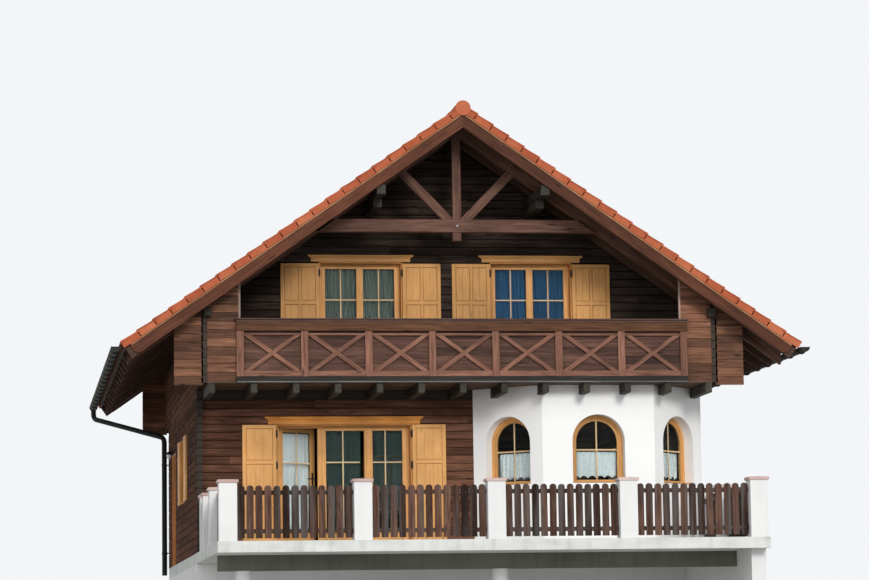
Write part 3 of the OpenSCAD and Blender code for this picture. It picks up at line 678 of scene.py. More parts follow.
# Gable trusses. In each gable a tie beam, a king post that hangs through it
# and two struts meet under the flying rafters; one bolt holds the crossing.
truss_red = stain("truss_red", (0.055, 0.024, 0.016), (0.118, 0.057, 0.039), (0.19, 0.096, 0.069),
                  spread=0.25, knots=0.6)
tie_z, tie_high = RIDGE - 2.165, 0.231
members = [stick((-2.6, 0, tie_z), (2.6, 0.14, tie_z + tie_high), "X", 0.010, 0.7),
           stick((-0.079, 0.014, tie_z - 0.155), (0.079, 0.126, tie_z + 2.0), "Z", 0.012, 0.55)]
for side in (1, -1):
    strut = stick((-0.08, 0.010, -0.05), (0.08, 0.130, 1.65), "Z", 0.009, 0.55)
    strut.data.transform(at(0, 0, tie_z + 0.069) @ turn(side * math.radians(44.3), "Y"))
    members.append(strut)
truss = [under_slopes(joined("truss_body", members), 0.25)]
for side in (1, -1):
    chord = stick((-7.3, 0.0, 0.0), (0.3, 0.14, 0.204), "X", 0.006, 0.5)
    across_ridge = half_turn @ at(0, -0.14, 0) if side > 0 else Matrix.Identity(4)
    chord.data.transform(at(0, 0, slope_z(0, under_rafters)) @ across_ridge @ turn(-SLOPE, "Y"))
    truss.append(cut(chord, ((0, 0, 0), (-side, 0, 0)), ((side * 5.80, 0, 0), (side, 0, 0))))
build("truss_timbers", truss, both_ends(1.03), 0.1, truss_red, stands_for=["gable_trusses"])
bolt = joined("bolt_pattern", [
    fresh(bpy.ops.mesh.primitive_cylinder_add, vertices=sides, radius=radius, depth=depth,
          location=(0, y, tie_z + 0.115), rotation=UPRIGHT)
    for sides, radius, depth, y in ((12, 0.021, 0.010, -0.004), (6, 0.012, 0.014, -0.014))])
mark_grain(eased(bolt, 0.002), "X", 0.5)
bolt_zinc = metal("bolt_zinc", (0.36, 0.34, 0.34), 0.45)
build("truss_bolts", bolt, both_ends(1.03), 1.0, bolt_zinc)


# Rafters and roof boarding. Rafters every 0.8 m and matched boards nailed
# across them, both stained dark brown and seen from below at the eaves.
def sloping(name, tints, stretch, width=None):
    """Stained timber read from where it lies down the slope, along the eaves and through the roof."""
    material, surface, add = shader(name, 0.68)
    split = add("SeparateXYZ", [("Vector", add("TexCoord").outputs["Object"])]).outputs
    folded = add("CombineXYZ", [("X", reckon(add, "ABSOLUTE", split["X"])), ("Y", split["Y"]), ("Z", split["Z"])])
    down, out = (add("VectorMath", [(0, folded.outputs["Vector"])], operation="DOT_PRODUCT") for _ in range(2))
    down.inputs[1].default_value = (math.cos(SLOPE), 0, -math.sin(SLOPE))
    out.inputs[1].default_value = (math.sin(SLOPE), 0, math.cos(SLOPE))
    down = down.outputs["Value"]
    laid = add("CombineXYZ", [("X", down), ("Y", split["Y"]), ("Z", out.outputs["Value"])]).outputs["Vector"]
    fibre, colour = fibres(add, mapped(add, laid, stretch), tints, 7.0, Roughness=0.6)
    if width:
        rows = reckon(add, "DIVIDE", down, width)
        luck = add("TexWhiteNoise", [("W", reckon(add, "FLOOR", rows))], noise_dimensions="1D")
        colour = shaded(add, colour, luck.outputs["Value"], 0.0, 1.0, 0.7, 1.25)
        colour = shaded(add, colour, off_middle(add, rows), 0.45, 0.49, 1.0, 0.2)
    coat(surface, add, colour, fibre, 0.25, 0.01)
    return material


rafter_tints = (0.032, 0.016, 0.011), (0.070, 0.036, 0.024), (0.12, 0.066, 0.045)
boarding_tints = (0.018, 0.010, 0.007), (0.036, 0.021, 0.014), (0.062, 0.037, 0.026)
dress(sloping("rafter_stain", rafter_tints, (0.9, 16, 16)), "rafters")
dress(sloping("boarding_stain", boarding_tints, (16, 0.9, 16), 0.12), "roof_deck")


# Roof tiles. Interlocking clay tiles with two shallow waves, hung on battens
# in straight courses, each course lapping the one below.
roof_half = 5.96
roof_front, roof_rear = FRONT - 1.912, REAR + 1.912
courses, columns = 22, 42
course = roof_half / math.cos(SLOPE) / courses
cover = (roof_rear - roof_front) / columns


def on_slope(side, y, s, lift, tip):
    """The place of a tile whose lower edge is s metres up from the eaves."""
    up = Vector((-side * math.cos(SLOPE), 0, math.sin(SLOPE)))
    out = Vector((side * math.sin(SLOPE), 0, math.cos(SLOPE)))
    eaves = Vector((side * roof_half, y, RIDGE - roof_half * math.tan(SLOPE)))
    lie = Matrix((up.cross(out), up, out)).transposed().to_4x4()
    return Matrix.Translation(eaves + up * s + out * lift) @ lie @ turn(tip, "X")


roof_clay = clay("roof_clay", (0.27, 0.056, 0.020), (0.41, 0.096, 0.037), (0.51, 0.150, 0.064))
for side, name in ((1, "roof_tiles_right"), (-1, "roof_tiles_left")):
    tile = fresh(bpy.ops.mesh.primitive_grid_add, x_subdivisions=10, y_subdivisions=1, size=1)
    for v in tile.data.vertices:
        u = v.co.x + 0.5
        v.co = ((u - 0.5) * (cover + 0.012), (v.co.y + 0.5) * (course + 0.07), 0.011 * math.cos(4 * math.pi * u))
    finish_with(tile, "SOLIDIFY", thickness=0.018, offset=-1)
    for face in tile.data.polygons:
        face.use_smooth = abs(face.normal.z) > 0.5
    mark_grain(tile, "X", 0.5)
    places = [on_slope(side, roof_front + (c + 0.5) * cover, r * course - 0.002, -0.013, -0.085)
              for r in range(courses) for c in range(columns)]
    build(name, tile, places, 0.9, roof_clay, stands_for=["roof_tiles"])

# Verge tiles close the roof's edge: their flanges hang over the barge boards
# in steps, each lapping the one below it.
flange = stick((-0.016, 0, -0.134), (0.016, course + 0.03, -0.004), "Y", 0.006, 0.6)
places = [on_slope(side, y, r * course - 0.004, -0.003, -0.050)
          for side in (1, -1) for y in (FRONT - 1.898, REAR + 1.898) for r in range(courses)]
verge_clay = clay("verge_clay", (0.28, 0.060, 0.025), (0.42, 0.102, 0.044), (0.53, 0.167, 0.078))
under_slopes(build("verge_tiles", flange, places, 0.7, verge_clay), 0.0)

# Ridge caps: half-round clay caps, each lapping the next, closed by a disc
# at the gable ends.
caps, cap_foot, narrow = 35, -0.05, 0.9
cap_step = (roof_rear - roof_front - 0.02) / caps
cap = fresh(bpy.ops.mesh.primitive_cylinder_add, vertices=28, radius=0.135, depth=cap_step + 0.03, rotation=UPRIGHT)
cut(cap, ((0, 0, cap_foot), (0, 0, -1)))
for v in cap.data.vertices:
    if v.co.y > 0:
        v.co.x *= narrow
        v.co.z = (v.co.z - cap_foot) * narrow + cap_foot
mark_grain(eased(cap, 0.006), "Y", 0.5)
places = [at(0, roof_front + 0.01 + (i + 0.5) * cap_step, RIDGE - 0.096) for i in range(caps)]
build("ridge_caps", cap, places, 0.8, roof_clay)
disc = fresh(bpy.ops.mesh.primitive_cylinder_add, vertices=32, radius=0.133, depth=0.018,
             location=(0, FRONT - 1.914, RIDGE - 0.097), rotation=UPRIGHT)
mark_grain(eased(disc, 0.004, 2), "X", 0.7)
build("ridge_discs", disc, [Matrix.Identity(4), half_turn], 0.2, verge_clay)


# Barge boards. Deep planed boards on the rafters' ends, their feet cut to a
# round, with a pale strip tacked on under the verge tiles.
def round_foot(edge):
    """The edge at the lower corner of a barge board's foot."""
    return all(point.x < 0.01 and point.z < -0.3 for point in ends_of(board, edge))


barge_stain = stain("barge_stain", (0.045, 0.013, 0.0055), (0.092, 0.030, 0.014), (0.14, 0.050, 0.026),
                    spread=0.30, knots=0.5)
strip_stain = stain("strip_stain", (0.25, 0.12, 0.055), (0.33, 0.175, 0.086), (0.40, 0.23, 0.13),
                    spread=0.1, knots=0.0)
barge_foot = 5.88
barge_length = barge_foot / math.cos(SLOPE) + 0.4
barges, tacks = [], []
for side in (1, -1):
    # The left board takes a light tone as painted light and the right a dark one as painted shade.
    board = stick((0, 0, -0.355), (barge_length, 0.040, -0.0803), "X", 0.0, 0.85 if side < 0 else 0.25)
    pick_out(board, "edges", round_foot)
    bpy.ops.mesh.bevel(offset=0.10, segments=6)
    bpy.ops.object.mode_set(mode="OBJECT")
    eased(board, 0.004, angle_limit=1.0)
    strip = stick((0.02, -0.018, -0.172), (barge_length, 0.0, -0.141), "X", 0.003, 0.5)
    for part, group, back in ((board, barges, -0.04), (strip, tacks, 0.018)):
        part.data.transform(turn(SLOPE, "Y") @ half_turn @ at(0, back, 0) if side > 0 else turn(-SLOPE, "Y"))
        part.data.transform(at(side * barge_foot, 0, RIDGE - FALL * barge_foot))
        group.append(cut(part, ((0, 0, 0), (-side, 0, 0))))
build("barge_planks", barges, both_ends(1.88), 0.1, barge_stain, stands_for=["barge_boards"])
build("barge_strips", tacks, both_ends(1.88), 0.1, strip_stain)


# Gutters and downpipes. Half-round painted sheet metal with a rolled front
# edge, held by hooks that pass under it, closed at the ends by half discs.
def merge_seams():
    """Closes the seams of what is being edited and points its faces outwards."""
    bpy.ops.mesh.select_all(action="SELECT")
    bpy.ops.mesh.remove_doubles(threshold=0.0001)
    bpy.ops.mesh.normals_make_consistent(inside=False)


def swept(x, stretch, steps, angle):
    """A strip of sheet at a distance x from the gutter's axis, swept round that axis."""
    obj = fresh(bpy.ops.mesh.primitive_plane_add, stretch, size=1, location=(x, 0, 0))
    bpy.ops.object.mode_set(mode="EDIT")
    bpy.ops.mesh.select_all(action="SELECT")
    bpy.ops.mesh.spin(steps=steps, angle=-angle, center=(0, 0, 0), axis=(0, 1, 0))
    merge_seams()
    bpy.ops.object.mode_set(mode="OBJECT")
    return obj


def bent_pipe(points, radius, bend):
    """A round pipe along points with an eased bend at each corner."""
    points = [Vector(point) for point in points]
    path = [points[0]]
    for before, corner, after in zip(points, points[1:], points[2:]):
        start = corner + (before - corner).normalized() * bend
        end = corner + (after - corner).normalized() * bend
        path.extend(start * (1 - t) ** 2 + corner * 2 * t * (1 - t) + end * t * t
                    for t in (0, 0.2, 0.4, 0.6, 0.8, 1))
    path.append(points[-1])
    line = bpy.data.curves.new("pipe_line", "CURVE")
    line.dimensions = "3D"
    line.bevel_depth, line.bevel_resolution, line.use_fill_caps = radius, 4, True
    spline = line.splines.new("POLY")
    spline.points.add(len(path) - 1)
    for point, place in zip(spline.points, path):
        point.co = (*place, 1)
    pipe = bpy.data.objects.new("pipe_line", line)
    bpy.context.scene.collection.objects.link(pipe)
    alone(pipe)
    bpy.ops.object.convert(target="MESH")
    pipe = bpy.context.object
    for face in pipe.data.polygons:
        face.use_smooth = len(face.vertices) == 4
    return mark_grain(pipe, "Z", 0.5)


gutter_metal = metal("gutter_metal", (0.024, 0.025, 0.017), 0.6)
pipe_metal = metal("pipe_metal", (0.010, 0.012, 0.011))
hook_metal = metal("hook_metal", (0.008, 0.009, 0.008))
gutter_x, gutter_z = 6.03, RIDGE - FALL * roof_half - 0.09
trough = mark_grain(swept(0.0815, (0.007, 12.52, 1), 18, math.pi), "Y", 0.5)
gutter_lines = [at(side * gutter_x, 0, gutter_z) for side in (1, -1)]
build("gutters", trough, gutter_lines, 1.0, gutter_metal, stands_for=["rainwater"])

pipe_parts = []
for side in (1, -1):
    x, y = side * 4.64, 4.44
    neck = [(side * gutter_x, 6.16, gutter_z - 0.07), (side * gutter_x, 6.16, 5.70), (x, y, 5.17), (x, y, 2.36)]
    pipe_parts.append(bent_pipe(neck, 0.052, 0.11))
    for z in (2.8, 4.6):                # brackets and collars
        a, b = sorted((side * 4.551, side * 4.60))
        pipe_parts.append(stick((a, y - 0.015, z), (b, y + 0.015, z + 0.02), "X", 0.0))
        pipe_parts.append(bent_pipe([(x, y, z - 0.010), (x, y, z + 0.030)], 0.057, 0.0))
settle(joined("downpipes", pipe_parts), pipe_metal)

hook_middle = 0.0845
hook = swept(hook_middle, (0.005, 0.026, 1), 12, math.radians(160))
hook.data.transform(turn(math.radians(10), "Y"))
for v in hook.data.vertices:            # the strap stands off the trough's foot
    if math.hypot(v.co.x, v.co.z) > hook_middle:
        v.co.z *= 1.22
mark_grain(hook, "Y", 0.5)
places = [at(side * gutter_x, -6.0 + i * 0.8, gutter_z) for side in (1, -1) for i in range(16)]
build("gutter_hooks", hook, places, 1.0, hook_metal)
stop = fresh(bpy.ops.mesh.primitive_cylinder_add, vertices=32, radius=0.084, depth=0.006, rotation=UPRIGHT)
cut(stop, ((0, 0, 0), (0, 0, 1)))
mark_grain(eased(stop, 0.0015), "X", 0.5)
roll_edge = fresh(bpy.ops.mesh.primitive_cylinder_add, vertices=12, radius=0.009, depth=12.5,
                  location=(0.0755, 0, -0.003), rotation=UPRIGHT)
mark_grain(eased(roll_edge, 0.002), "Y", 0.5)
places = [at(side * gutter_x, y, gutter_z) for side in (1, -1) for y in (-6.256, 6.256)]
build("gutter_ends", stop, places, 1.0, hook_metal)
places = [gutter_lines[0], gutter_lines[1] @ half_turn]
build("gutter_edges", roll_edge, places, 1.0, gutter_metal)


# Windows and doors. Clear-varnished pine: boards line the wall's opening, a
# frame stands at its back, and sashes with thin pale glazing bars close it.
def lined(w, h, sill=False):
    """Boards from the wall's face back to the frame of an opening w by h."""
    edge, thick, deep = w / 2, 0.022, 0.166
    parts = [stick((-edge, 0, 0), (-edge + thick, deep, h), "Z", 0.003),
             stick((edge - thick, 0, 0), (edge, deep, h), "Z", 0.003),
             stick((-edge + thick, 0, h - thick), (edge - thick, deep, h), "X", 0.003)]
    if sill:
        parts.append(stick((-edge + thick, 0.0, 0), (edge - thick, deep, thick), "X", 0.004))
    return parts


def framed(x0, x1, z0, z1, grain="X", ease=0.004):
    """A piece of the frame that stands behind the lining."""
    return stick((x0, 0.165, z0), (x1, 0.235, z1), grain, ease)


def boxed(half, inner, foot, head, h):
    """The four pieces of a frame h high, with its inner edges."""
    return [framed(-half, -inner, 0, h, "Z"), framed(inner, half, 0, h, "Z"),
            framed(-inner, inner, head, h), framed(-inner, inner, 0, foot)]


def sash(a, b, z0, z1, left, right, foot, top, y0, y1, panel=True):
    """One sash or door leaf with stiles of two widths, and a board panel in its foot if it has one."""
    low_rail, lock_rail = 0.13, 0.075
    parts = [stick((a, y0, z0), (a + left, y1, z1), "Z", 0.005),
             stick((b - right, y0, z0), (b, y1, z1), "Z", 0.005),
             stick((a + left, y0, z1 - top), (b - right, y1, z1), "X", 0.005)]
    a, b = a + left, b - right
    if not panel:
        return parts + [stick((a, y0, z0), (b, y1, z0 + foot), "X", 0.005)]
    low, high = z0 + low_rail, z0 + foot - lock_rail
    return parts + [stick((a, y0, z0), (b, y1, low), "X", 0.005),
                    stick((a, y0, high), (b, y1, z0 + foot), "X", 0.005),
                    stick((a + 0.004, y0 + 0.016, low), (b - 0.004, y1 - 0.016, high), "X", 0.004),
                    stick((a + 0.035, y0 + 0.008, low + 0.03), (b - 0.035, y0 + 0.018, high - 0.03), "X", 0.007)]


def cross_strip(x, half, low, high):
    """The cover strip where two sashes meet."""
    return stick((x - half, 0.149, low), (x + half, 0.157, high), "Z", 0.004)


def bars(a, b, z0, z1, cross, y0=0.180, y1=0.199, width=0.022):
    """One upright and one level glazing bar in an opening."""
    middle = (a + b) / 2
    return [stick((middle - width / 2, y0, z0), (middle + width / 2, y1, z1), "Z", 0.004, 0.5),
            stick((a, y0 + 0.001, cross - width / 2), (b, y1, cross + width / 2), "X", 0.004, 0.5)]


def glaze(names, linings, frames, glazing, places, stands_for=()):
    """Sets the lining, the frame and the bars of an opening out at its places."""
    for name, parts, finish in zip(names, (linings, frames, glazing), (reveal_pine, pine, bar_paint)):
        build(name, parts, places, 0.1, finish, stands_for=stands_for if parts is linings else ())


pine = stain("pine", (0.56, 0.27, 0.080), (0.67, 0.34, 0.115), (0.74, 0.41, 0.165),
             spread=0.12, rough=0.42, knots=0.25, coarse=1.4)
reveal_pine = stain("reveal_pine", (0.46, 0.18, 0.040), (0.58, 0.245, 0.062), (0.66, 0.31, 0.095),
                    spread=0.12, rough=0.42, knots=0.25, coarse=1.4)
bar_paint = stain("bar_paint", (0.64, 0.43, 0.21), (0.74, 0.53, 0.29), (0.80, 0.60, 0.36),
                  spread=0.05, rough=0.4, knots=0.0)
balcony_x, balcony_foot = (-1.604, 1.482), 5.366
door_h = slope_z(1.482 + 0.745 + 0.21, under_rafters) - 0.426 - balcony_foot
door_places = [faced(x, y, balcony_foot) for y in (FRONT, REAR) for x in balcony_x]
linings = lined(1.49, door_h)
frames = boxed(0.745, 0.687, 0.045, door_h - 0.05, door_h)
frames += sash(-0.687, -0.002, 0.045, door_h - 0.05, 0.062, 0.058, 0.355, 0.057, 0.157, 0.225)
frames += sash(0.002, 0.687, 0.045, door_h - 0.05, 0.058, 0.062, 0.355, 0.057, 0.157, 0.225)
frames.append(cross_strip(0, 0.024, 0.05, door_h - 0.055))
cross = 7.004 - balcony_foot
glazing = bars(-0.625, -0.06, 0.40, door_h - 0.107, cross) + bars(0.06, 0.625, 0.40, door_h - 0.107, cross)
glaze(("balcony_door_linings", "balcony_doors", "balcony_door_bars"), linings, frames, glazing,
      door_places, ["frames"])


# Side and rear windows. Smaller two-sash windows of the same make, with a
# sill board.
wall_half, sill_z, window = 4.55, 3.58, 1.2


def beside(side, y, z):
    """A place on the left or the right wall."""
    return at(side * wall_half, y, z) @ turn(side * math.pi / 2)


side_windows, rear_windows = ((-1, -0.5), (1, -0.5), (1, 2.2)), (-2.4115, 0, 2.4115)
window_places = [beside(side, y, sill_z) for side, y in side_windows]
window_places += [faced(x, REAR, sill_z) for x in rear_windows]
linings = lined(window, window, True)
frames = boxed(window / 2, 0.56, 0.035, 1.165, window)
frames += sash(-0.56, -0.001, 0.035, 1.165, 0.035, 0.0365, 0.04, 0.04, 0.157, 0.225, False)
frames += sash(0.001, 0.56, 0.035, 1.165, 0.0365, 0.035, 0.04, 0.04, 0.157, 0.225, False)
frames.append(cross_strip(0, 0.02, 0.04, 1.16))
glazing = bars(-0.525, -0.0375, 0.075, 1.125, 0.66) + bars(0.0375, 0.525, 0.075, 1.125, 0.66)
glaze(("side_window_linings", "side_windows", "side_window_bars"), linings, frames, glazing, window_places)


# Terrace doors. A jamb and head carry one leaf that swings in and two that
# stay shut, in the same pine.
door_x, half_door, head_z, leaf_top = -1.927, 1.207, 2.26, 2.2
at_door = at(door_x, FRONT, TERRACE)
a = -0.463                              # the post between the swinging and the fixed leaves
linings = lined(2 * half_door, head_z)
frames = [framed(-half_door, -1.147, 0, head_z, "Z"),
          stick((-half_door, 0.235, 0), (-1.181, 0.301, head_z), "Z", 0.003),
          framed(-1.147, half_door, leaf_top, head_z), framed(a, a + 0.075, 0, leaf_top, "Z"),
          framed(1.132, half_door, 0, leaf_top, "Z")]
frames += sash(a + 0.075, a + 0.908, 0.0, 2.215, 0.075, 0.073, 0.40, 0.060, 0.157, 0.228)
frames += sash(a + 0.912, 1.132, 0.0, 2.215, 0.073, 0.075, 0.40, 0.060, 0.157, 0.228)
frames.append(cross_strip(a + 0.910, 0.024, 0.01, 2.205))
cross = 4.093 - TERRACE
glazing = bars(a + 0.15, a + 0.76, 0.40, 2.155, cross) + bars(a + 0.91, a + 1.52, 0.40, 2.155, cross)
glaze(("terrace_door_lining", "terrace_door_frame", "terrace_door_bars"), linings, frames, glazing,
      [at_door], ["door_frames"])

# The swinging leaf, drawn shut on its hinge line and turned to stand open.
swing = at(-3.106, -4.089, TERRACE) @ turn(math.radians(25))
leaf = sash(0.004, 0.746, 0.012, 2.218, 0.085, 0.085, 0.388, 0.075, -0.070, -0.010)
build("terrace_door_leaf", leaf, [swing], 0.1, pine, "terrace_door", ["terrace_leaf"])
glazing = bars(0.089, 0.661, 0.40, 2.143, cross, -0.060, -0.049)
build("terrace_leaf_bars", glazing, [swing], 0.1, bar_paint, "terrace_door")


# Entrance door. A pine frame in the left wall with a leaf of stiles, rails
# and three fielded panels.
def in_leaf(x0, x1, z0, z1, grain, y0=0.180, y1=0.240):
    """A piece of the entrance leaf, whose foot stands 12 mm over the threshold."""
    return stick((x0, y0, 0.012 + z0), (x1, y1, 0.012 + z1), grain, 0.005)


entrance_pine = stain("entrance_pine", (0.40, 0.155, 0.045), (0.52, 0.22, 0.065), (0.60, 0.29, 0.10),
                      spread=0.1, rough=0.42, knots=0.3)
entrance = [beside(-1, 2.6, TERRACE)]
parts = lined(1.15, leaf_top)
parts += [stick((s * 0.54 - 0.035, 0.165, 0), (s * 0.54 + 0.035, 0.240, leaf_top), "Z", 0.004) for s in (-1, 1)]
parts.append(stick((-0.505, 0.165, 2.13), (0.505, 0.240, leaf_top), "X", 0.004))
build("entrance_frame", parts, entrance, 0.1, entrance_pine)
half, h, stile = 0.499, 2.112, 0.13
step = (2 * half - 2 * stile) / 6
parts = [in_leaf(-half, -half + stile, 0, h, "Z"), in_leaf(half - stile, half, 0, h, "Z")]
parts += [in_leaf(-half + stile, half - stile, low, high, "X")
          for low, high in ((0.0, 0.12), (0.66, 0.78), (1.32, 1.44), (1.98, h))]
parts += [in_leaf(-half + stile + k * step, -half + stile + (k + 1) * step, z, z + 0.54, "Z", 0.196, 0.232)
          for z in (0.12, 0.78, 1.44) for k in range(6)]
build("entrance_door", parts, entrance, 0.1, entrance_pine, "entrance_door", ["entrance_leaf"])


# Door handles. Dark forged plates with a turned neck and a lever, screwed to
# the stile; the one on the terrace door sits at breast height.
handle_metal = metal("handle_metal", (0.014, 0.012, 0.011))
dress(handle_metal, "entrance_handle")
lever = bpy.data.objects.new("terrace_lever", nodes["terrace_handle"].data.copy())
bpy.context.scene.collection.objects.link(lever)
lever.data.transform(at(0, 0, 0.27))
alone(lever)
bpy.ops.object.mode_set(mode="EDIT")
bpy.ops.mesh.select_all(action="SELECT")
bpy.ops.mesh.remove_doubles(threshold=0.0001)
bpy.ops.object.mode_set(mode="OBJECT")
settle(eased(lever, 0.0015), handle_metal, "terrace_door", ["terrace_handle"])


# Bay windows. Arch-headed pine frames set back in the white masonry, each
# with an upright and a level bar, over a thin wooden sill.
def arch_ring(half, height, width, y0, y1, foot):
    """A frame of rectangular section that goes up one side, over the arch and down the other."""
    spring = height - half
    ring = fresh(bpy.ops.mesh.primitive_plane_add, (width, y1 - y0, 1), size=1,
                 location=(half - width / 2, (y0 + y1) / 2, foot))
    bpy.ops.object.mode_set(mode="EDIT")
    bpy.ops.mesh.select_mode(type="FACE")
    bpy.ops.mesh.select_all(action="SELECT")
    bpy.ops.mesh.extrude_region_move(TRANSFORM_OT_translate={"value": (0, 0, spring - foot)})
    bpy.ops.mesh.spin(steps=24, angle=math.pi, center=(0, 0, spring), axis=(0, 1, 0))
    bpy.ops.mesh.extrude_region_move(TRANSFORM_OT_translate={"value": (0, 0, foot - spring)})
    bpy.ops.mesh.select_all(action="SELECT")
    bpy.ops.mesh.remove_doubles(threshold=0.0001)
    bpy.ops.mesh.select_all(action="DESELECT")
    bpy.ops.mesh.select_interior_faces()
    bpy.ops.mesh.delete(type="FACE")
    merge_seams()
    bpy.ops.object.mode_set(mode="OBJECT")
    return mark_grain(eased(ring, 0.004, angle_limit=1.0), "Z")


bay_turn, bay_sill = math.atan2(1.0, 2.08 - 1.005), 3.64
facets = ((BAY_X, -1.0, 0.0), (BAY_X - 1.5425, -0.5, -bay_turn), (BAY_X + 1.5425, -0.5, bay_turn))
facet_places = [at(x, FRONT + y, bay_sill) @ turn(angle) for x, y, angle in facets]
parts = [arch_ring(0.47, 1.205, 0.060, 0.190, 0.260, 0.0), arch_ring(0.41, 1.145, 0.045, 0.203, 0.255, 0.030),
         stick((-0.41, 0.190, 0.0), (0.41, 0.260, 0.035), "X", 0.004),
         stick((-0.365, 0.203, 0.035), (0.365, 0.255, 0.062), "X", 0.004)]
build("bay_windows", parts, facet_places, 0.1, pine)
parts = bars(-0.365, 0.365, 0.062, 1.10, 4.231 - bay_sill, 0.212, 0.228, 0.026)
build("bay_window_bars", parts, facet_places, 0.1, bar_paint)
sill = stick((-0.468, -0.022, 0.001), (0.468, 0.190, 0.026), "X", 0.006, 0.3)
build("bay_sills", sill, facet_places, 0.2, pine)


# Shutters. Pine leaves laid back on the wall: stiles and rails around panels
# of narrow upright boards, with a dark shadow line round each panel.
def shutter(w, h, panels, rails):
    """A shutter w by h, some panels wide, with its back at y = 0; rails are its rails' lower edges."""
    stile, rail, mullion, shadow = 0.066, 0.064, 0.045, 0.011
    thick = -0.038
    a, b = -w / 2 + stile, w / 2 - stile
    parts = [stick((-w / 2, thick, 0), (a, 0, h), "Z", 0.004, 0.5),
             stick((b, thick, 0), (w / 2, 0, h), "Z", 0.004, 0.5),
             stick((a, -0.018, 0.01), (b, -0.004, h - 0.01), "Z", 0.0, 0.15)]
    parts += [stick((a, thick, z), (b, 0, min(z + rail, h)), "X", 0.004, 0.5) for z in rails]
    inner = (w - 2 * stile - (panels - 1) * mullion) / panels
    count = 3 if panels == 1 else 2
    step = (inner - 2 * shadow) / count
    for c in range(panels):
        left = a + c * (inner + mullion)
        if c:
            parts.append(stick((left - mullion, -0.0372, rail), (left, 0, h - rail), "Z", 0.004, 0.5))
        left += shadow
        parts += [stick((left + k * step, -0.033, z0 + rail + shadow), (left + (k + 1) * step, -0.014, z1 - shadow),
                        "Z", 0.004, chance.uniform(0.4, 0.65))
                  for z0, z1 in zip(rails, rails[1:]) for k in range(count)]
    return parts


shutter_pine = stain("shutter_pine", (0.60, 0.29, 0.085), (0.70, 0.36, 0.12), (0.77, 0.43, 0.17),
                     spread=0.14, rough=0.45, knots=0.3, coarse=1.6)
# A darker copy of the shutter pine for the balcony shutters and crowns: painted shade from the eaves.
upper_pine_painted_shade = stain("upper_pine_painted_shade", (0.50, 0.235, 0.066), (0.59, 0.295, 0.094), (0.65, 0.35, 0.135),
                   spread=0.14, rough=0.45, knots=0.3, coarse=1.6)
shutter_foot, hands = 5.415, (-1, 1)
h = door_h + balcony_foot - WALL_HEAD - 0.04 - 0.04
leaf = shutter(0.694, h, 2, [0.0, 0.74, h - 0.74, h - 0.064])
places = [faced(x + s * (0.745 + 0.349), y, shutter_foot) for y in (FRONT, REAR) for x in balcony_x for s in hands]
build("balcony_shutters", leaf, places, 0.15, upper_pine_painted_shade, stands_for=["shutters"])
leaf = shutter(0.606, 2.23, 1, [0.0, 0.78, 1.535, 2.166])
places = [at(door_x + s * (half_door + 0.306), FRONT, TERRACE + 0.02) for s in hands]
build("terrace_shutters", leaf, places, 0.15, shutter_pine)
leaf = shutter(0.600, window, 1, [0.0, 0.52, 1.136])
places = [beside(side, y + s * 0.905, sill_z) for side, y in side_windows for s in hands]
places += [faced(x + s * 0.9025, REAR, sill_z) for x in rear_windows for s in hands]
build("side_shutters", leaf, places, 0.15, shutter_pine)


# Shutter hinges. A forged strap on the shutter and one on the frame, round a
# pin; the straps lie towards the shutter, so the other hand's are upside down.
def hinged(x, y, z, s):
    """The place of a hinge at one hand of an opening."""
    return faced(x, y, z) @ turn(0 if s * y > 0 else math.pi, "Y")


pin = fresh(bpy.ops.mesh.primitive_cylinder_add, vertices=12, radius=0.010, depth=0.15, location=(0, -0.030, 0))
hinge = joined("hinge_pattern", [pin, stick((-0.014, -0.043, -0.07), (0.004, -0.036, 0.07), "Z", 0.001),
                                 stick((-0.004, -0.028, -0.05), (0.022, -0.002, 0.05), "Z", 0.002)])
mark_grain(hinge, "X", 0.5)
places = [hinged(x + s * 0.746, y, shutter_foot + z, s)
          for y in (FRONT, REAR) for x in balcony_x for s in hands for z in (0.35, h / 2, h - 0.167)]
places += [hinged(door_x + s * 1.208, FRONT, TERRACE + z, s) for s in hands for z in (0.35, 1.53, 2.09)]
build("shutter_hinges", hinge, places, 1.0, handle_metal)


# Crowned boards over the windows: a pine frieze, a sloping cove and a thin
# projecting fillet.
def crown(w, h):
    """The three parts of a crown w wide and h high."""
    a, b, cove_foot, fillet_foot = -w / 2 + 0.06, w / 2 - 0.06, h - 0.060, h - 0.026
    cove = stick((a, -0.040, cove_foot), (b, 0, fillet_foot), "X", 0.0, 0.5)
    for v in cove.data.vertices:
        if v.co.z > h - 0.04:
            v.co.x += math.copysign(0.050, v.co.x)
            v.co.y -= 0.004 if v.co.y < -0.01 else 0
        elif v.co.y < -0.01:
            v.co.y = -0.030
    return [stick((a, -0.030, 0), (b, 0, cove_foot), "X", 0.004, 0.5), cove,
            stick((-w / 2, -0.045, fillet_foot), (w / 2, 0, h), "X", 0.005, 0.7)]


crown_pine = stain("crown_pine", (0.52, 0.19, 0.034), (0.66, 0.26, 0.052), (0.74, 0.33, 0.085),
                   spread=0.12, rough=0.45, knots=0.25, coarse=1.4)
places = [faced(x, y, door_h + balcony_foot) for y in (FRONT, REAR) for x in balcony_x]
build("balcony_door_crowns", crown(1.91, 0.125), places, 0.1, upper_pine_painted_shade, stands_for=["lintels"])
places = [at(door_x, FRONT, TERRACE + head_z)]
build("terrace_door_crown", crown(2.834, 0.135), places, 0.1, crown_pine)


# Window glass. Clear float glass, faintly rippled, puttied into the sashes of
# windows and doors.
glass, surface, add = shader("window_glass", 0.03, 0.5)
surface.inputs["Base Color"].default_value = (0.86, 0.92, 0.92, 1)
surface.inputs["Transmission Weight"].default_value = 1.0
surface.inputs["IOR"].default_value = 1.13
coat(surface, add, None, noise(add, placed(add), 1.5, 1.0), 0.04, 0.02)
dress(glass, "glass", "terrace_leaf_glass")


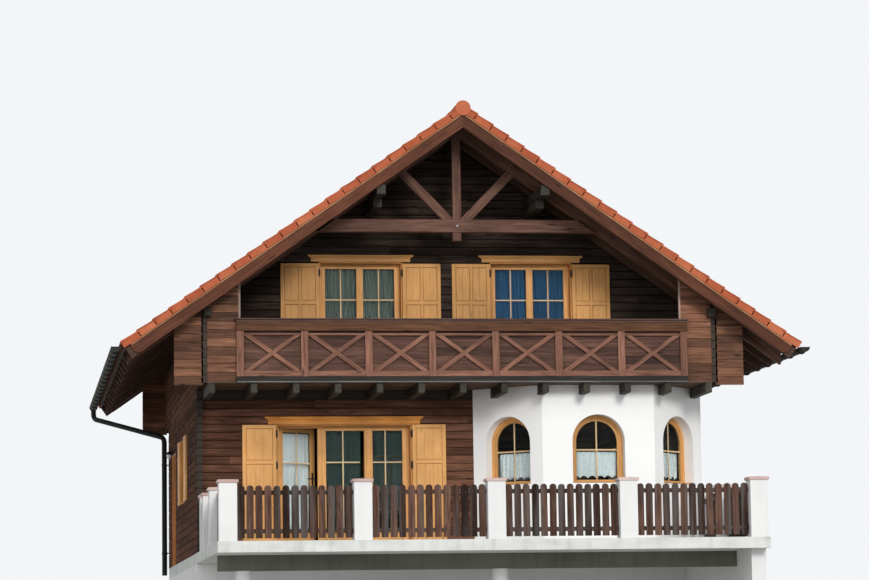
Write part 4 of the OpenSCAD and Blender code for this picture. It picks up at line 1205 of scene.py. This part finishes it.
# Curtains. Sheer cloth gathered on thin rods behind the glass: grey green and
# blue upstairs, dark green at the terrace doors, and white lace half curtains
# with a scalloped hem in the bay.
def cloth(name, colour, pale, alpha, lace=False):
    """Thin cloth that lets some light through, or lace with holes."""
    material, surface, add = shader(name, 0.9)
    where = add("TexCoord").outputs["UV"]
    fold = noise(add, mapped(add, where, (40, 1.5, 1)), 1.0, 3.0)
    surface.inputs["Alpha"].default_value = alpha
    if lace:
        holes = add("TexVoronoi", [("Vector", mapped(add, where, (22, 14, 1)))], Scale=1.0).outputs["Distance"]
        surface.id_data.links.new(spread_over(add, holes, 0.15, 0.45, alpha, 1.0), surface.inputs["Alpha"])
    coat(surface, add, ramp(add, fold, (0.3, colour), (0.7, pale)), fold, 0.3, 0.003)
    return material


LEVEL = (0, math.pi / 2, 0)         # turns a cylinder's axis from z to x


def curtain(name, w, h, waves, depth, place, material, body="house", scallops=0):
    """A gathered sheet w wide and h long, hung from a rod at its top."""
    sheet = fresh(bpy.ops.mesh.primitive_grid_add, x_subdivisions=waves * 10, y_subdivisions=10, size=1)
    sheet.name = sheet.data.name = name
    phase = chance.uniform(0, 6)
    for v in sheet.data.vertices:
        u, t = v.co.x + 0.5, 0.5 - v.co.y
        wave = 2 * math.pi * waves * u
        fold = math.sin(wave + phase) + 0.3 * math.sin(wave * 0.43 + 2 * phase)
        rise = 0.022 * abs(math.cos(math.pi * scallops * u)) if scallops else 0.0
        v.co = (w * (u - 0.5) + 0.006 * math.sin(7 * u + 3 * t), depth * (0.6 + 0.4 * t) * fold,
                -h * t + rise * (t ** 6) * 2)
    sheet.data.transform(place)
    for face in sheet.data.polygons:
        face.use_smooth = True
    rod = fresh(bpy.ops.mesh.primitive_cylinder_add, vertices=10, radius=0.005, depth=w + 0.03, rotation=LEVEL)
    eased(rod, 0.002)
    rod.name = rod.data.name = name + "_rod"
    rod.data.transform(place)
    mark_grain(rod, "X", 0.5)
    settle(rod, handle_metal, body)
    sheet.data.materials.append(material)
    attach(sheet, body)
    return sheet


behind = 0.275                      # from a wall's face back to its curtains
green_sheer = cloth("green_sheer", (0.10, 0.13, 0.11), (0.26, 0.30, 0.26), 0.72)
blue_sheer = cloth("blue_sheer", (0.004, 0.045, 0.125), (0.02, 0.125, 0.27), 0.88)
dark_sheer = cloth("dark_sheer", (0.006, 0.018, 0.018), (0.060, 0.110, 0.100), 0.8)
# White sheer cloth, its white raised near to pure white as a painted reflection of the sky in the glass.
white_sheer_painted_reflection = cloth("white_sheer_painted_reflection", (0.84, 0.86, 0.88), (0.93, 0.94, 0.95), 0.95)
white_lace = cloth("white_lace", (0.74, 0.79, 0.80), (0.90, 0.93, 0.94), 0.78, lace=True)
for k, (place, stuff) in enumerate(zip(door_places, (green_sheer, blue_sheer, green_sheer, green_sheer))):
    for s, hand in ((-1, "left"), (1, "right")):
        curtain(f"balcony_curtain_{k}_{hand}", 0.60, 1.80, 9, 0.016,
                place @ at(s * 0.34, behind, door_h - 0.075), stuff)
for hand, x in (("left", -0.008), ("right", 0.752)):
    curtain(f"terrace_curtain_{hand}", 0.64, 1.80, 9, 0.016, at_door @ at(x, behind, 2.20), dark_sheer)
curtain("terrace_leaf_curtain", 0.56, 1.72, 8, 0.008, swing @ at(0.375, 0.012, 2.13), white_sheer_painted_reflection, "terrace_door")
for k, place in enumerate(facet_places):
    curtain(f"bay_lace_{k}", 0.72, 0.47, 8, 0.012, place @ at(0, 0.290, 4.205 - bay_sill), white_lace, scallops=5)
for k, place in enumerate(window_places):
    for s, hand in ((-1, "left"), (1, "right")):
        curtain(f"side_curtain_{k}_{hand}", 0.50, 1.05, 8, 0.014, place @ at(s * 0.28, behind, 1.14), white_sheer_painted_reflection)


# Wall lamp. Beside the entrance a dark bracket with a small hood is screwed
# to the logs, and a bell of opal glass hangs under the hood.
lamp_place, reach = at(-wall_half, 1.5, 4.66), -0.155
bracket = joined("lamp_bracket", [
    fresh(bpy.ops.mesh.primitive_cylinder_add, vertices=20, radius=0.05, depth=0.02,
          location=(-0.01, 0, 0), rotation=LEVEL),
    fresh(bpy.ops.mesh.primitive_cylinder_add, vertices=10, radius=0.010, depth=0.15,
          location=(-0.085, 0, 0.02), rotation=LEVEL),
    fresh(bpy.ops.mesh.primitive_cone_add, vertices=24, radius1=0.085, radius2=0.02, depth=0.06,
          location=(reach, 0, 0.0))])
eased(bracket, 0.003, 2)
bracket.data.transform(lamp_place)
settle(mark_grain(bracket, "X", 0.5), handle_metal)
bell_z = -0.045
bell = fresh(bpy.ops.mesh.primitive_uv_sphere_add, segments=20, ring_count=12, radius=0.055,
             location=(reach, 0, bell_z))
for v in bell.data.vertices:
    v.co.z = bell_z + (v.co.z - bell_z) * 1.3
for face in bell.data.polygons:
    face.use_smooth = True
bell.name = bell.data.name = "lamp_glass"
bell.data.transform(lamp_place)
opal, surface, add = shader("opal_glass", 0.25)
haze = noise(add, placed(add), 20.0, 2.0)
coat(surface, add, ramp(add, haze, (0.3, (0.72, 0.72, 0.68)), (0.7, (0.80, 0.80, 0.77))))
settle(mark_grain(bell, "Z", 0.5), opal)


# Studio floor, backdrop and lamps. A plain grey floor, a pale backdrop that
# the camera sees and a dimmer one that lights, a key lamp and a soft fill.
floor_grey, surface, add = shader("studio_floor", 0.9)
surface.inputs["Base Color"].default_value = (0.62, 0.62, 0.60, 1)
studio = fresh(bpy.ops.mesh.primitive_plane_add, size=400, location=(0, 60, 0))
studio.name = "studio_floor"
studio.data.materials.append(floor_grey)

world = bpy.data.worlds.new("studio")
bpy.context.scene.world = world
world.use_nodes = True
tree = world.node_tree
lit, seen = tree.nodes["Background"], tree.nodes.new("ShaderNodeBackground")
for backdrop, colour, strength in ((lit, (0.95, 0.97, 1.0, 1), 0.50), (seen, (0.90, 0.92, 0.94, 1), 1.0)):
    backdrop.inputs["Color"].default_value = colour
    backdrop.inputs["Strength"].default_value = strength
rays = tree.nodes.new("ShaderNodeLightPath").outputs
straight = rays["Is Camera Ray"]
for kind in ("Is Glossy Ray", "Is Transmission Ray"):
    either = tree.nodes.new("ShaderNodeMath")
    either.operation = "MAXIMUM"
    tree.links.new(straight, either.inputs[0])
    tree.links.new(rays[kind], either.inputs[1])
    straight = either.outputs[0]
choose = tree.nodes.new("ShaderNodeMixShader")
for source, socket in ((straight, 0), (lit.outputs["Background"], 1), (seen.outputs["Background"], 2)):
    tree.links.new(source, choose.inputs[socket])
tree.links.new(choose.outputs["Shader"], tree.nodes["World Output"].inputs["Surface"])

for name, energy, angle, colour, rise, side in (("key", 1.48, 14, (1.0, 0.98, 0.95), 70, 9),
                                                ("fill", 1.42, 80, (0.98, 0.99, 1.0), 84, -24)):
    sun = bpy.data.lights.new(name, "SUN")
    sun.energy = energy
    sun.angle = math.radians(angle)
    sun.color = colour
    lamp = bpy.data.objects.new(name, sun)
    lamp.rotation_euler = (math.radians(rise), 0, math.radians(side))
    bpy.context.scene.collection.objects.link(lamp)

bpy.context.scene.view_settings.view_transform = "Standard"
